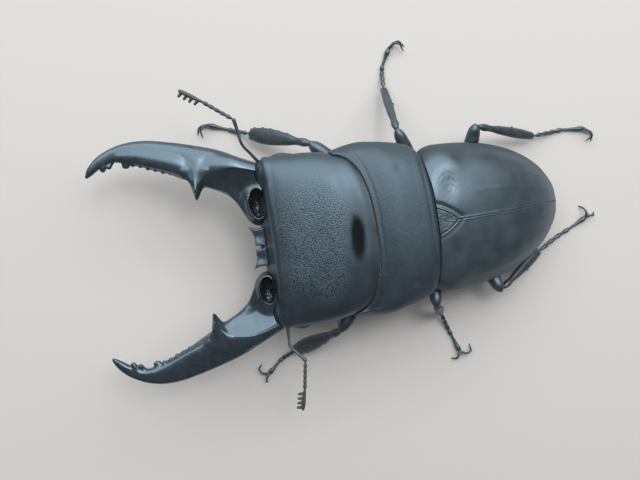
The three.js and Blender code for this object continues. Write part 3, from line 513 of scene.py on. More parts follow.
class Paint:
    """A small helper that lays out one material's nodes round its shader."""

    def __init__(self, name, roughness, specular_tint=(1, 1, 1), gloss=0.5):
        self.material = bpy.data.materials.new(name)
        self.material.use_nodes = True
        self.nodes = self.material.node_tree.nodes
        self.shader = self.nodes["Principled BSDF"]
        self.shader.inputs["Roughness"].default_value = roughness
        self.shader.inputs["IOR"].default_value = CUTICLE_IOR
        self.shader.inputs["Specular IOR Level"].default_value = gloss
        self.shader.inputs["Specular Tint"].default_value = (*specular_tint, 1)
        self.place = self.node("ShaderNodeTexCoord").outputs["Object"]
        self.normal = None
        MATERIALS[name] = self.material

    def node(self, kind, **settings):
        node = self.nodes.new(kind)
        for setting, value in settings.items():
            setattr(node, setting, value)
        return node

    def feed(self, socket, value):
        if isinstance(value, bpy.types.NodeSocket):
            self.material.node_tree.links.new(value, socket)
        elif value is not None:
            socket.default_value = value

    def pattern(self, kind, size):
        """A pattern whose lumps or points are about size millimetres apart."""
        node = self.node(kind)
        node.inputs["Scale"].default_value = 1 / (size * MM)
        self.feed(node.inputs["Vector"], self.place)
        return node

    def noise(self, size, detail=3.0):
        noise = self.pattern("ShaderNodeTexNoise", size)
        noise.inputs["Detail"].default_value = detail
        return noise.outputs["Fac"]

    def cells(self, size):
        return self.pattern("ShaderNodeTexVoronoi", size).outputs["Distance"]

    def mark(self, name):
        return self.node("ShaderNodeAttribute", attribute_name=name).outputs["Fac"]

    def maths(self, a, b, operation="ADD"):
        node = self.node("ShaderNodeMath", operation=operation)
        self.feed(node.inputs[0], a)
        self.feed(node.inputs[1], b)
        return node.outputs["Value"]

    def between(self, value, low, high, from_low=0.3, from_high=0.7):
        """Maps a noise value onto a range."""
        node = self.node("ShaderNodeMapRange")
        for socket, given in zip(node.inputs, (value, from_low, from_high, low, high)):
            self.feed(socket, given)
        return node.outputs["Result"]

    def colours(self, value, dark, light):
        node = self.node("ShaderNodeValToRGB")
        for stop, position, colour in zip(node.color_ramp.elements, (0.32, 0.68), (dark, light)):
            stop.position = position
            stop.color = (*colour, 1)
        self.feed(node.inputs["Fac"], value)
        return node.outputs["Color"]

    def shade(self, colour, factor):
        """The colour made darker or lighter by a factor."""
        node = self.node("ShaderNodeVectorMath", operation="SCALE")
        self.feed(node.inputs[0], colour)
        self.feed(node.inputs["Scale"], factor)
        return node.outputs["Vector"]

    def raise_by(self, height, millimetres, strength):
        """Adds a bump of the given full height."""
        node = self.node("ShaderNodeBump")
        node.inputs["Distance"].default_value = millimetres * MM
        self.feed(node.inputs["Strength"], strength)
        self.feed(node.inputs["Height"], height)
        self.feed(node.inputs["Normal"], self.normal)
        self.normal = node.outputs["Normal"]

    def done(self, colour, roughness=None):
        self.feed(self.shader.inputs["Base Color"], colour)
        self.feed(self.shader.inputs["Roughness"], roughness)
        self.feed(self.shader.inputs["Normal"], self.normal)


# Shader tints and colours, linear: each pair of colours is the dark and the light of its patches.
STEEL_SHEEN = (0.58, 0.82, 1.0)
CHITIN_DARK = (0.013, 0.018, 0.023)
CHITIN_LIGHT = (0.021, 0.028, 0.035)
ELYTRA_COLOURS = (0.030, 0.040, 0.047), (0.050, 0.066, 0.078)
JAW_COLOURS = (0.020, 0.027, 0.034), (0.032, 0.042, 0.052)
BELLY_COLOURS = (0.012, 0.012, 0.013), (0.034, 0.030, 0.028)
LIMB_COLOURS = (0.022, 0.025, 0.027), (0.052, 0.056, 0.059)
CLUB_COLOURS = (0.030, 0.025, 0.021), (0.075, 0.062, 0.050)
EYE_COLOURS = (0.006, 0.004, 0.003), (0.022, 0.012, 0.008)
# painted shade: the beads in the jaw pits are coloured near-black for the shade there
BEAD_SHADE_COLOURS = (0.002, 0.002, 0.003), (0.006, 0.006, 0.007)
GOLDEN_HAIR = (0.10, 0.085, 0.06), (0.3, 0.26, 0.18)
DARK_HAIR = (0.018, 0.014, 0.011), (0.06, 0.042, 0.028)


def head_paint():
    """Fine shining granules on the disc, with painted glints on their tops and painted shade between them,
    a satin brow, and a polished patch at the back painted near-black as a dark reflection.
    """
    paint = Paint("head", 0.45, STEEL_SHEEN, 1.0)
    disc, polish_reflection = paint.mark("disc"), paint.mark("polish_reflection")
    patches = paint.noise(3.5)
    granules = paint.maths(1.0, paint.cells(0.22), "SUBTRACT")
    paint.raise_by(paint.noise(0.12, 2.0), 0.008, 0.6)
    paint.raise_by(granules, 0.045, disc)
    rough = paint.maths(paint.between(patches, 0.40, 0.47), paint.between(polish_reflection, 0.0, -0.3, 0.0, 1.0))
    colour = paint.colours(patches, CHITIN_DARK, CHITIN_LIGHT)
    # painted light: over the disc, granule tops are painted lighter as glints and the ground between them
    # darker as shade
    granule_glints_and_shade = paint.maths(paint.between(granules, -0.7, 4.0, 0.35, 0.85), disc, "MULTIPLY")
    colour = paint.shade(colour, paint.maths(granule_glints_and_shade, 1.0))
    # painted reflection: the polished patch is darkened to near black, standing for a dark reflection
    colour = paint.shade(colour, paint.between(polish_reflection, 1.0, 0.08, 0.0, 1.0))
    paint.done(colour, rough)


def shell_paint(name, roughness, dark=CHITIN_DARK, light=CHITIN_LIGHT, grain=0.1, depth=0.012, cloud=2.5):
    """Chitin: near-black, with faint cloudiness and a fine grain."""
    paint = Paint(name, roughness, STEEL_SHEEN, 1.0)
    patches = paint.noise(cloud)
    paint.raise_by(paint.noise(grain, 2.0), depth, 0.6)
    rough = paint.between(patches, roughness - 0.02, roughness + 0.02)
    paint.done(paint.colours(patches, dark, light), rough)


def elytra_paint():
    """Glossier than the rest, with a duller band along the outer edge that is also painted darker as a
    dark reflection.
    """
    paint = Paint("elytra", 0.38, STEEL_SHEEN, 1.0)
    patches = paint.noise(3.0)
    margin = paint.mark("margin")
    rough = paint.maths(paint.between(patches, 0.35, 0.39), paint.between(margin, 0.0, 0.14, 0.0, 1.0))
    paint.raise_by(paint.noise(0.8, 3.0), 0.02, 0.5)
    paint.raise_by(paint.cells(0.45), 0.012, 0.5)
    colour = paint.colours(patches, *ELYTRA_COLOURS)
    # painted reflection: in the outer band the colour darkens to about a third, standing for the darker
    # surroundings it reflects
    paint.done(paint.shade(colour, paint.between(margin, 1.0, 0.3, 0.0, 1.0)), rough)


def bead_paint():
    # painted shade: the beads are coloured near-black for the shade in the pit
    paint = Paint("bead", 0.16, (1, 1, 1), 0.25)
    paint.done(paint.colours(paint.noise(0.5, 1.0), *BEAD_SHADE_COLOURS))


def hair_paint(name, dark, light):
    paint = Paint(name, 0.5)
    paint.done(paint.colours(paint.noise(0.3, 1.0), dark, light))


def jaw_paint():
    """Polished blades; the pits at their roots are wet-looking, and painted near-black as shade."""
    paint = Paint("jaw", 0.28, STEEL_SHEEN, 1.0)
    patches = paint.noise(2.0)
    pit = paint.mark("pit")
    rough = paint.maths(paint.between(patches, 0.26, 0.30), paint.between(pit, 0.0, -0.14, 0.0, 1.0))
    paint.raise_by(paint.noise(0.15, 2.0), 0.004, 0.5)
    colour = paint.colours(patches, *JAW_COLOURS)
    # painted shade: inside the pits the colour falls to a tenth
    paint.done(paint.shade(colour, paint.between(pit, 1.0, 0.1, 0.0, 1.0)), rough)


def eye_paint():
    paint = Paint("eye", 0.12)
    paint.raise_by(paint.cells(0.07), 0.02, 0.5)
    paint.done(paint.colours(paint.noise(0.8), *EYE_COLOURS))


head_paint()
shell_paint("shell", 0.44)
shell_paint("pronotum", 0.56, grain=0.2, depth=0.02)
shell_paint("belly", 0.42, *BELLY_COLOURS, grain=0.2, depth=0.02)
shell_paint("limb", 0.37, *LIMB_COLOURS, grain=0.12, cloud=1.2)
shell_paint("club", 0.62, *CLUB_COLOURS, grain=0.08, cloud=0.6)
elytra_paint()
jaw_paint()
eye_paint()
bead_paint()
hair_paint("golden_hair", *GOLDEN_HAIR)
hair_paint("dark_hair", *DARK_HAIR)


# ---- body shells as distances
def trunk(stations, upper, lower, ends=0.8):
    """Distance function of a trunk piece through stations of y, half width, top and bottom.

    Upper and lower say how square its cross-section is over and under z = 0; 2 is an ellipse.
    """
    stations = np.asarray(stations, float)
    first, last = stations[0, 0], stations[-1, 0]
    dense = np.linspace(first, last, 300)
    table = curve(stations[:, 0], stations[:, 1:], dense)

    def distance(x, y, z):
        half, top, bottom = (np.interp(y, dense, table[:, k]).astype(np.float32) for k in range(3))
        above = z > 0
        power = np.where(above, upper, lower)
        across = np.abs(x / half) ** power
        up = np.abs(z / np.where(above, top, bottom)) ** power
        norm = (across + up) ** (1 / power)
        radius = np.sqrt(x * x + z * z) + 1e-3
        side = radius - radius / (norm + 1e-3 / top)
        return most(side, most(first - y, y - last), ends)

    return distance


def less_than(full, rows):
    """Trunk stations from rows of y and how much is off the full half width, top and bottom."""
    return [(y, *(np.array(full) - less)) for y, *less in rows]


def seen(shape, own, here):
    """The same distance function, asked from another frame."""
    matrix = np.linalg.inv(own) @ here

    def distance(x, y, z):
        return shape(*(row[0] * x + row[1] * y + row[2] * z + row[3] for row in matrix[:3]))

    return distance


def grown(shape, amount):
    """The same form, larger all round."""
    return lambda x, y, z: shape(x, y, z) - amount


def ellipsoid(centre, radii):
    def distance(x, y, z):
        a, b, c = x - centre[0], y - centre[1], z - centre[2]
        norm = np.sqrt((a / radii[0]) ** 2 + (b / radii[1]) ** 2 + (c / radii[2]) ** 2)
        return to_surface(norm, a, b, c)

    return distance


def bulge(part, side, grow=0.0):
    """An eye or a cheek on one side of the head."""
    radii = [part[way] + grow for way in ("across", "along", "up")]
    return ellipsoid((side * part["x"], part["y"], part["z"]), radii)


def slab(outline, low, high, rounding):
    """Distance function of a flat plate with a given outline in x and y."""
    corners = np.asarray(outline, float)

    def distance(x, y, z):
        nearest = np.full(np.broadcast(x, y).shape, FAR, np.float32)
        inside = np.zeros(nearest.shape, bool)
        for (ax, ay), (bx, by) in zip(corners, np.roll(corners, -1, axis=0)):
            ex, ey = bx - ax, by - ay
            t = np.clip(((x - ax) * ex + (y - ay) * ey) / (ex * ex + ey * ey), 0, 1)
            nearest = np.minimum(nearest, np.hypot(x - ax - t * ex, y - ay - t * ey))
            crosses = ((ay > y) != (by > y)) & (x < (y - ay) * ex / (ey if ey else 1e-9) + ax)
            inside ^= crosses
        flat = np.where(inside, -nearest, nearest)
        return most(flat, most(low - z, z - high), rounding)

    return distance


head_shell = trunk(less_than((HEAD_HALF_WIDTH, HEAD_TOP, HEAD_BOTTOM), [
    (HEAD_FRONT, 1.4, 3.4, 2.9), (HEAD_FRONT + 0.5, 0.5, 2.5, 2.1), (HEAD_FRONT + 2.1, 0.1, 1.5, 1.2),
    (-14.5, 0, 0.9, 0.6), (-11, 0, 0.4, 0.2), (-7, 0.5, 0, 0), (-3.6, 1.5, 0.1, 0.1), (-1, 3.2, 0.5, 0.6),
    (1, 5.6, 1.1, 1.3), (2.4, 9.4, 2.2, 2.6),
]), upper=2.7, lower=2.4)

prothorax_shell = trunk(less_than((PRONOTUM_HALF_WIDTH, PRONOTUM_TOP, PRONOTUM_BOTTOM), [
    (PRONOTUM_FRONT, 1.1, 1.6, 1.6), (-16, 0.6, 1.3, 1.2), (-14.2, 0.1, 0.9, 0.8), (-12.5, 0, 0.6, 0.5),
    (-9.5, 0.4, 0.1, 0), (-6, 1.0, 0, 0), (-3.2, 1.7, 0.1, 0.1), (-1.4, 2.5, 0.3, 0.4),
    (-0.4, 3.9, 0.6, 0.9), (0.3, 6.4, 1.0, 1.6),
]), upper=2.35, lower=2.2, ends=0.35)


# ---- head
def canthus(side):
    """The ledge that runs back from the cheek over the front of the eye."""
    x, y, z = side * EYE["x"], EYE["y"], EYE["z"]
    return [
        (x - side * 1.0, y - 3.9, z + 1.0, 0.4, 0.3),
        (x + side * 0.3, y - 2.6, z + 1.1, 0.85, 0.45),
        (x + side * 0.55, y - 0.9, z + 1.5, 0.8, 0.4),
        (x + side * 0.1, y + 0.8, z + 1.9, 0.35, 0.25),
    ]


def head_form(x, y, z):
    """The head's shell with its front edge hollowed between the cheeks and sloping to the clypeus."""
    hollow = HEAD_HOLLOW * np.maximum(1 - (x / FOREHEAD["half"]) ** 2, 0)
    shell = most(head_shell(x, y, z), HEAD_FRONT + hollow - y + 0 * z, 1.2)
    slope = FOREHEAD["slope"] * np.maximum(1 - (x / FOREHEAD["half"]) ** 4, 0)
    face = (FOREHEAD["edge"] - slope * (FOREHEAD["top"] - z) - y) / math.hypot(1, FOREHEAD["slope"])
    around = most(FOREHEAD["bottom"] - z, np.abs(x) - FOREHEAD["half"] + 0 * z, 0.8)
    behind = most(z - FOREHEAD["top"] - 0.4, y - FOREHEAD["rear"], 0.5)
    forehead = most(most(face, around + 0 * y, 0.6), behind + 0 * x, 0.5)
    return least(shell, forehead, 0.9)


def head_disc(points):
    """1 on the granular disc on top of the head, fading to 0 on its smooth front, sides and rear."""
    x, y, z = points.T
    wave = 0.06 * np.sin(0.55 * x + 1.0) + 0.05 * np.sin(0.8 * y)
    across, along = np.abs(x - DISC["x"]) / DISC["half"], np.abs(y - DISC["y"]) / DISC["long"]
    reach = (across**3 + along**3) ** (1 / 3) + wave
    return (1 - ramp(reach, 0.6, 1.05)) * ramp(z, 1.5, 3.0)


def head_polish_reflection(points):
    """1 on the small polished patch behind the middle of the disc, where a dark reflection is painted into
    the colour.
    """
    x, y, _ = points.T
    uneven = 0.02 * x * x + 0.1 * np.sin(0.9 * x + 0.5)
    across, along = (x - POLISH_REFLECTION["x"]) / POLISH_REFLECTION["half"], (y - POLISH_REFLECTION["y"] + uneven) / POLISH_REFLECTION["long"]
    return 1 - ramp(np.hypot(across, along), 0.45, 1.15)


def head_relief(points, normals):
    x, y, _ = points.T
    top = ramp(normals[:, 2], 0.3, 0.7)
    inner = 1 - ramp(np.abs(x), 9.0, 14.5)
    brow = -0.10 * bump(y, -16.4, 1.3) * inner
    fold = -0.14 * bump(y + 0.012 * x * x, -3.4, 1.2) * inner + 0.10 * bump(y + 0.012 * x * x, -1.2, 0.9)
    dents = -0.05 * mound(x, y, (5.5, -9.0), (3.0, 2.2))
    rough = head_disc(points) * 0.005 * (grains(points, 0.36) - 0.4)
    return top * (brow + fold + dents + rough)


def make_head():
    clay = Clay((-17.2, -20.9, -6.2), (17.2, 3.2, 6.0), 0.155)
    clay.add(head_form)
    for side in SIDES.values():
        clay.add(bulge(CHEEK, side), blend=1.3)
        clay.stroke(canthus(side), blend=0.5)
        clay.cut(bulge(EYE, side, SEAM), blend=0.12)
    finish_clay(
        "head", clay, HEAD, "head", relief=head_relief,
        marks={"disc": head_disc, "polish_reflection": head_polish_reflection},
    )


# ---- eyes
def make_eye(name):
    side = SIDES[name]
    inner, outer = sorted((side * 13.0, side * 17.0))
    clay = Clay((inner, EYE["y"] - 2.4, EYE["z"] - 2.2), (outer, EYE["y"] + 2.4, EYE["z"] + 2.2), 0.06)
    clay.add(bulge(EYE, side))
    finish_clay("eye_" + name, clay, HEAD, "eye")


# ---- clypeus and mouth
def make_clypeus():
    """The plate between the jaws: two lobes with sharp outer corners and a deep notch between."""
    front = CLYPEUS_FRONT
    right_side = [
        (-5.0, -18.2), (-4.1, -19.3), (-3.5, -20.4), (-3.45, -21.3), (-3.95, front - 0.15),
        (-2.7, front + 0.5), (-1.5, front + 0.75), (-0.45, front + 0.65), (-0.3, front + 1.6),
    ]
    left_side = [(-x, y) for x, y in reversed(right_side)]
    outline = [(x + CLYPEUS_OFFSET, y) for x, y in right_side + [(0, front + 2.6)] + left_side]
    clay = Clay((-5.2, -23.1, -1.6), (5.8, -17.8, 1.2), 0.07)
    clay.add(slab(outline, -1.1, 0.25, 0.35))
    clay.cut(grown(head_form, SEAM), blend=0.15)

    def relief(points, normals):
        x, y, _ = points.T
        x = np.abs(x - CLYPEUS_OFFSET)
        dip = -0.26 * bump(x, 2.0, 1.0) * bump(y, front + 1.5, 1.0)
        return ramp(normals[:, 2], 0.3, 0.8) * (dip + 0.015 * grains(points, 0.35))

    finish_clay("clypeus", clay, HEAD, "shell", relief=relief)


def make_mentum():
    clay = Clay((-6.2, -21.6, -6.4), (6.2, -12.2, -2.2), 0.13)
    clay.stroke([
        (0, -20.6, -3.2, 2.6, 0.35), (0, -19.4, -3.4, 4.0, 0.6), (0, -17.0, -4.0, 5.2, 1.2),
        (0, -14.2, -4.6, 4.8, 1.2), (0, -13.2, -4.9, 3.6, 0.8),
    ], power=2.6)
    clay.cut(grown(head_form, GAP), blend=0.1)

    def relief(points, normals):
        seam = -0.12 * bump(points[:, 1], -17.6, 0.22)
        return ramp(-normals[:, 2], 0.3, 0.8) * (seam + 0.04 * grains(points, 0.5))

    finish_clay("mentum", clay, HEAD, "belly", relief=relief)


def make_palp(name):
    side = SIDES[name]
    inner, outer = sorted((side * 1.0, side * 3.6))
    clay = Clay((inner, -22.9, -3.8), (outer, -20.0, -1.7), 0.05)
    joints = spot((2.4, -20.4, -2.3), (2.72, -20.95, -2.5), (2.5, -21.4, -2.75), (1.85, -21.75, -3.15))
    joints = joints * (side, 1, 1)
    for a, b in zip(joints[:-1], joints[1:]):
        clay.stroke(rod(a, b, (0, 0.16), (0.6, 0.34, 0.33), (0.9, 0.28, 0.27)), blend=0.06)
    finish_clay("palp_" + name, clay, HEAD, "limb")


# ---- jaws
# The left jaw's middle line: x, y, z, half width and half height. The right one is its mirror.
JAW_LINE = [
    (9.0, -16.6, -0.8, 4.4, 2.2), (10.7, -19.9, -0.8, 4.3, 2.4), (13.7, -23.3, -0.9, 3.35, 2.2),
    (15.6, -27.1, -1.0, 3.5, 2.0), (17.3, -31.4, -1.0, 3.25, 1.8), (19.0, -35.8, -0.9, 2.7, 1.6),
    (20.05, -39.4, -0.7, 2.3, 1.4), (20.5, -42.6, -0.4, 1.7, 1.2), (20.2, -45.2, -0.1, 1.2, 1.0),
    (19.1, -47.5, 0.2, 0.95, 0.8), (17.5, -49.3, 0.4, 0.6, 0.55), (16.75, -49.95, 0.5, 0.28, 0.26),
]
# Ahead of from, each tip turns inward by its own amount and reaches forward by a share of it.
TIP_BEND = {"from": -42.0, "length": 8.0, "forward": 0.6, "right": -0.4, "left": 0.6}
JAW_LOBE = {"centre": (8.2, -20.4, -0.9), "radii": (3.9, 2.8, 1.7)}
JAW_TOOTH = [
    (15.0, -30.0, -0.8, 1.7, 1.5), (13.2, -30.5, -0.45, 1.0, 1.2), (11.8, -30.9, -0.05, 0.58, 0.85),
    (11.0, -31.05, 0.2, 0.32, 0.5), (10.65, -31.15, 0.4, 0.18, 0.25),
]
# The crest is the roof line that runs from the head over the blade to the point of the big tooth,
# and on from the tooth above the row of small teeth.
REAR_CREST = [
    (14.4, -19.6, -0.25, 1.3, 1.0), (15.1, -22.1, 0.0, 1.5, 1.0), (15.7, -24.1, 0.2, 1.7, 1.0),
    (15.9, -26.2, 0.25, 1.8, 1.0), (15.9, -27.8, 0.2, 1.7, 1.0), (15.5, -28.9, 0.3, 1.2, 0.9),
    (14.2, -29.8, 0.6, 0.5, 0.6), (12.7, -30.6, 0.7, 0.3, 0.35), (11.1, -31.05, 0.6, 0.15, 0.18),
]
FRONT_CREST = [
    (11.3, -31.15, 0.6, 0.15, 0.18), (12.9, -31.35, 0.75, 0.3, 0.35), (14.3, -31.75, 0.65, 0.5, 0.55),
    (15.9, -32.5, 0.3, 1.4, 0.8), (16.9, -33.8, 0.25, 1.7, 0.85), (17.5, -35.2, 0.25, 1.7, 0.85),
    (18.0, -36.6, 0.22, 1.7, 0.82), (18.6, -38.4, 0.2, 1.5, 0.75), (19.2, -40.2, 0.15, 1.3, 0.7),
    (19.6, -42.2, 0.15, 1.0, 0.6), (19.8, -43.6, 0.15, 0.6, 0.5),
]
TOOTH_RIDGE = [
    (17.3, -30.3, -0.35, 2.0, 1.3), (16.0, -30.6, 0.05, 1.5, 1.15), (14.6, -30.8, 0.32, 1.05, 1.1),
    (13.1, -30.95, 0.65, 0.66, 1.0), (11.9, -31.05, 0.85, 0.38, 0.95), (11.0, -31.1, 1.0, 0.2, 0.8),
]
# The inner side falls away from the crest: crest x, y, z and slope. It is a hollow facet
# behind the big tooth and a steep flank ahead of it.
JAW_FACET = [
    (19.4, -44.5, 1.3, 1.2), (19.1, -43.2, 1.0, 1.6), (18.75, -41.8, 0.92, 2.0),
    (18.25, -40.2, 0.98, 2.2), (17.5, -38.2, 1.06, 2.2), (16.75, -36.2, 1.14, 2.2),
    (16.25, -34.8, 1.16, 2.0), (15.65, -33.6, 1.2, 1.6), (14.8, -32.7, 1.2, 1.0),
    (13.7, -32.1, 1.15, 0.8), (12.3, -31.6, 1.05, 0.8), (10.9, -31.25, 0.9, 0.8),
    (12.2, -30.7, 1.0, 0.85), (13.5, -30.0, 1.15, 0.8), (14.6, -29.0, 1.22, 0.72),
    (15.05, -27.8, 1.24, 0.66), (15.3, -26.2, 1.28, 0.62), (15.35, -24.1, 1.22, 0.58),
    (14.8, -22.1, 1.0, 0.48), (14.1, -20.1, 0.75, 0.3), (13.4, -18.5, 0.65, 0.2),
]
# Going inward from the crest, the facet falls by its slope, ever less, and is level from a place on.
# Outside the crest and ahead of the first station it rises, so that it cuts nothing there.
FACET_FLATTEN = 0.065
FACET_LEVEL = {"from": 5, "fall": 3.4}
FACET_OUTSIDE = 1.5
# The rounded inner edge that runs from the lobe of the base to the notch behind the tooth.
INNER_BASE = [
    (6.5, -21.5, -1.3, 1.0, 0.9), (8.4, -22.4, -1.5, 1.0, 0.85), (10.2, -23.5, -1.6, 1.0, 0.8),
    (11.5, -25.3, -1.6, 0.9, 0.75), (12.6, -27.0, -1.4, 0.8, 0.75), (13.5, -28.8, -1.1, 0.8, 0.8),
]
JAW_LEDGE = [
    (14.6, -31.9, -0.3, 0.4, 0.45), (15.1, -32.6, -0.3, 0.5, 0.5), (16.1, -34.5, -0.3, 0.5, 0.5),
    (16.7, -36.2, -0.25, 0.5, 0.5), (17.45, -38.2, -0.2, 0.5, 0.5), (18.3, -40.2, -0.15, 0.5, 0.48),
    (18.8, -42.5, -0.1, 0.45, 0.42),
]
JAW_PITS = {
    "right": {"centre": (8.5, -20.4, 0.75), "radii": (2.7, 1.55, 1.7)},
    "left": {"centre": (7.7, -20.65, 0.75), "radii": (2.5, 1.35, 1.6)},
}
PIT_RIM = {"arc": (130, 290), "out": 0.1, "down": 0.4, "half": 0.3}     # the arc is in degrees
PIT_HAIRS = {"right": 40, "left": 0}
PIT_HAIR_ARC = (95, 200)
PIT_HAIR_LENGTH, PIT_HAIR_WIDTH = 0.55, 0.03
# The row of small teeth, from the front back: the first is broader and reaches furthest.
SAW_START, SAW_END = -42.7, -33.9
SAW_REACH = (0.42, 0.14, 0.2, 0.26, 0.16, 0.24, 0.12, 0.08)
SAW_FIRST_HALF, SAW_HALF, SAW_HIGH = 0.75, 0.36, 0.42
# The two blunt teeth on the inner side of the tip, each with its blend.
FRONT_TIP_TOOTH = [
    (19.3, -46.3, 0.15, 0.65, 0.6), (18.4, -46.65, 0.4, 0.6, 0.52), (17.85, -46.85, 0.45, 0.48, 0.42),
]
REAR_TIP_TOOTH = [(19.2, -45.2, 0.1, 0.55, 0.5), (18.3, -45.7, 0.35, 0.46, 0.42)]
TIP_TEETH = [(FRONT_TIP_TOOTH, 0.3), (REAR_TIP_TOOTH, 0.2)]


def bent(stations, name):
    """The stations with the tip's own turn inward."""
    turned_in = []
    for x, y, *rest in stations:
        inward = TIP_BEND[name] * max((TIP_BEND["from"] - y) / TIP_BEND["length"], 0) ** 2
        turned_in.append((x - inward, y - TIP_BEND["forward"] * inward, *rest))
    return turned_in


def jaw_facet(x, y, z, turn_in):
    """How far a point lies above the inner side; nothing lies above it outside the crest."""
    rows = np.array(bent(JAW_FACET, turn_in))
    edge, height, slope = (np.interp(y, rows[:, 1], rows[:, k]).astype(np.float32) for k in (0, 2, 3))
    inward = edge - x
    hollow = slope * (inward - FACET_FLATTEN * inward**2)
    inside = np.where(inward > FACET_LEVEL["from"], slope * FACET_LEVEL["fall"], hollow)
    fall = np.where(inward > 0, inside, FACET_OUTSIDE * inward)
    ahead = np.maximum(rows[0, 1] - y, 0)
    return (z - height + fall - ahead) / np.sqrt(1 + slope**2)


def jaw_clay(name):
    clay = Clay((2.8, -51.5, -4.0), (23.4, -15.0, 3.2), 0.1)
    clay.stroke(bent(JAW_LINE, name), power=2.8)
    for stations in (REAR_CREST[:-3], bent(FRONT_CREST[3:], name), JAW_TOOTH, TOOTH_RIDGE):
        clay.stroke(stations, blend=0.8)
    for stations in (REAR_CREST[-4:], FRONT_CREST[:4]):
        clay.stroke(stations, blend=0.5)
    clay.keep(lambda x, y, z: jaw_facet(x, y, z, name), blend=0.15)
    clay.add(ellipsoid(JAW_LOBE["centre"], JAW_LOBE["radii"]), blend=1.3)
    clay.stroke(INNER_BASE, blend=0.8)
    clay.stroke(bent(JAW_LEDGE, name), blend=0.2)
    shelf = np.array(bent(JAW_LEDGE, name))[::-1]
    for y, reach in zip(np.linspace(SAW_START, SAW_END, len(SAW_REACH)), SAW_REACH):
        x, z = (np.interp(y, shelf[:, 1], shelf[:, k]) for k in (0, 2))
        wide = SAW_FIRST_HALF if reach == SAW_REACH[0] else SAW_HALF
        clay.stroke([
            (x + 0.8, y + 0.15, z + 0.25, 0.6, 0.45), (x - 0.1, y + 0.05, z + 0.25, wide, SAW_HIGH),
            (x - 0.25 - reach, y - 0.05, z + 0.15, wide * 0.9, min(wide, SAW_HIGH)),
        ], blend=0.2, spacing=0.12)
    for stations, blend in TIP_TEETH:
        clay.stroke(bent(stations, name), blend=blend, spacing=0.2)
    pit = JAW_PITS[name]
    (x, y, z), (a, b, _) = pit["centre"], pit["radii"]
    out, down, half = (PIT_RIM[key] for key in ("out", "down", "half"))
    clay.stroke([
        (x + (a + out) * math.cos(t), y + (b + out) * math.sin(t), z - down, half, half)
        for t in np.radians(np.linspace(*PIT_RIM["arc"], 9))
    ], blend=0.7, spacing=0.25)
    clay.cut(ellipsoid(pit["centre"], pit["radii"]), blend=0.2)
    return clay


def jaw_pit_mark(points, name):
    centre, radii = (np.array(JAW_PITS[name][key]) for key in ("centre", "radii"))
    return 1 - ramp(np.linalg.norm((points - centre) / radii, axis=1), 0.98, 1.12)


def make_jaw(name):
    side = SIDES[name]
    clay = jaw_clay(name)
    for shape in (head_form, bulge(CHEEK, side)):
        near = seen(grown(shape, SEAM), HEAD, JAW[name])
        clay.cut(lambda x, y, z: near(side * x, y, z), blend=0.15)
    points, quads = clay.surface()
    points = relaxed(points, quads)
    pit = jaw_pit_mark(points, name)
    normals = normals_of(points, quads)
    points = points + normals * (0.07 * pit * (grains(points, 0.26) - 0.3))[:, None]
    if side < 0:
        points = points * (-1, 1, 1)
        quads = quads[:, ::-1]
    show("mandible_" + name, moved(JAW[name], points), quads, "jaw", {"pit": pit})
    make_pit_beads(name)


BEAD_PITCH = 0.27
BEAD_RADII = (0.11, 0.16)


def make_pit_beads(name):
    """The floor of the pit is crowded with fine beads, painted near-black as shade, and hairs stand at its
    rear inner end.
    """
    side = SIDES[name]
    flip = (side, 1, 1)
    (cx, cy, cz), (a, b, c) = JAW_PITS[name]["centre"], JAW_PITS[name]["radii"]
    random = np.random.default_rng(5)
    ball, faces = low_ball(6, 4)
    parts = []
    for row, v in enumerate(np.arange(-b, b, BEAD_PITCH * 0.87)):
        for u in np.arange(-a + (row % 2) * BEAD_PITCH / 2, a, BEAD_PITCH):
            u, w = u + random.uniform(-0.05, 0.05), v + random.uniform(-0.05, 0.05)
            depth = 1 - (u / a) ** 2 - (w / b) ** 2
            if depth < 0.06:
                continue
            place = spot(cx + u, cy + w, cz - c * math.sqrt(depth) + random.uniform(0, 0.06))
            parts.append((place + ball * random.uniform(*BEAD_RADII)) * flip)
    faces = faces[:, ::-1] if side < 0 else faces
    every = np.concatenate([faces + k * len(ball) for k in range(len(parts))])
    show("mandible_" + name + "_beads", moved(JAW[name], np.concatenate(parts)), every,
         "bead", stands_for=())
    if not PIT_HAIRS[name]:
        return
    hairs = Hairs(seed=11)
    for _ in range(PIT_HAIRS[name]):
        around = math.radians(hairs.random.uniform(*PIT_HAIR_ARC))
        share = hairs.random.uniform(0.8, 0.98)
        u, w = a * math.cos(around) * share, b * math.sin(around) * share
        root = spot(cx + u, cy + w, cz - c * math.sqrt(1 - share**2)) * flip
        way = spot(-u * 0.25, -w * 0.25, 1.2) * flip
        hairs.add(root, (u, w), way, PIT_HAIR_LENGTH, PIT_HAIR_WIDTH, 0.25)
    hairs.show("mandible_" + name + "_hairs", JAW[name], "golden_hair")


def low_ball(around, high):
    """Points and triangles of a small ball of radius 1."""
    points = [(0, 0, -1)]
    for i in range(1, high):
        lean = math.pi * i / high
        for k in range(around):
            turn = 2 * math.pi * k / around
            out = math.sin(lean)
            points.append((out * math.cos(turn), out * math.sin(turn), -math.cos(lean)))
    points.append((0, 0, 1))
    last = len(points) - 1
    faces = []
    for k in range(around):
        n = (k + 1) % around
        faces.append((0, 1 + n, 1 + k))
        faces.append((last, last - around + k, last - around + n))
        for i in range(high - 2):
            low, up = 1 + i * around, 1 + (i + 1) * around
            faces += [(low + k, low + n, up + n), (low + k, up + n, up + k)]
    return np.array(points), np.array(faces)


# ---- prothorax
FRONT_MARGIN = {"half": 14.75, "power": 2.8, "level": PRONOTUM_FRONT - 0.6}
FRINGE = {"reach": 14.2, "spacing": 0.09, "length": 0.5, "width": 0.035}


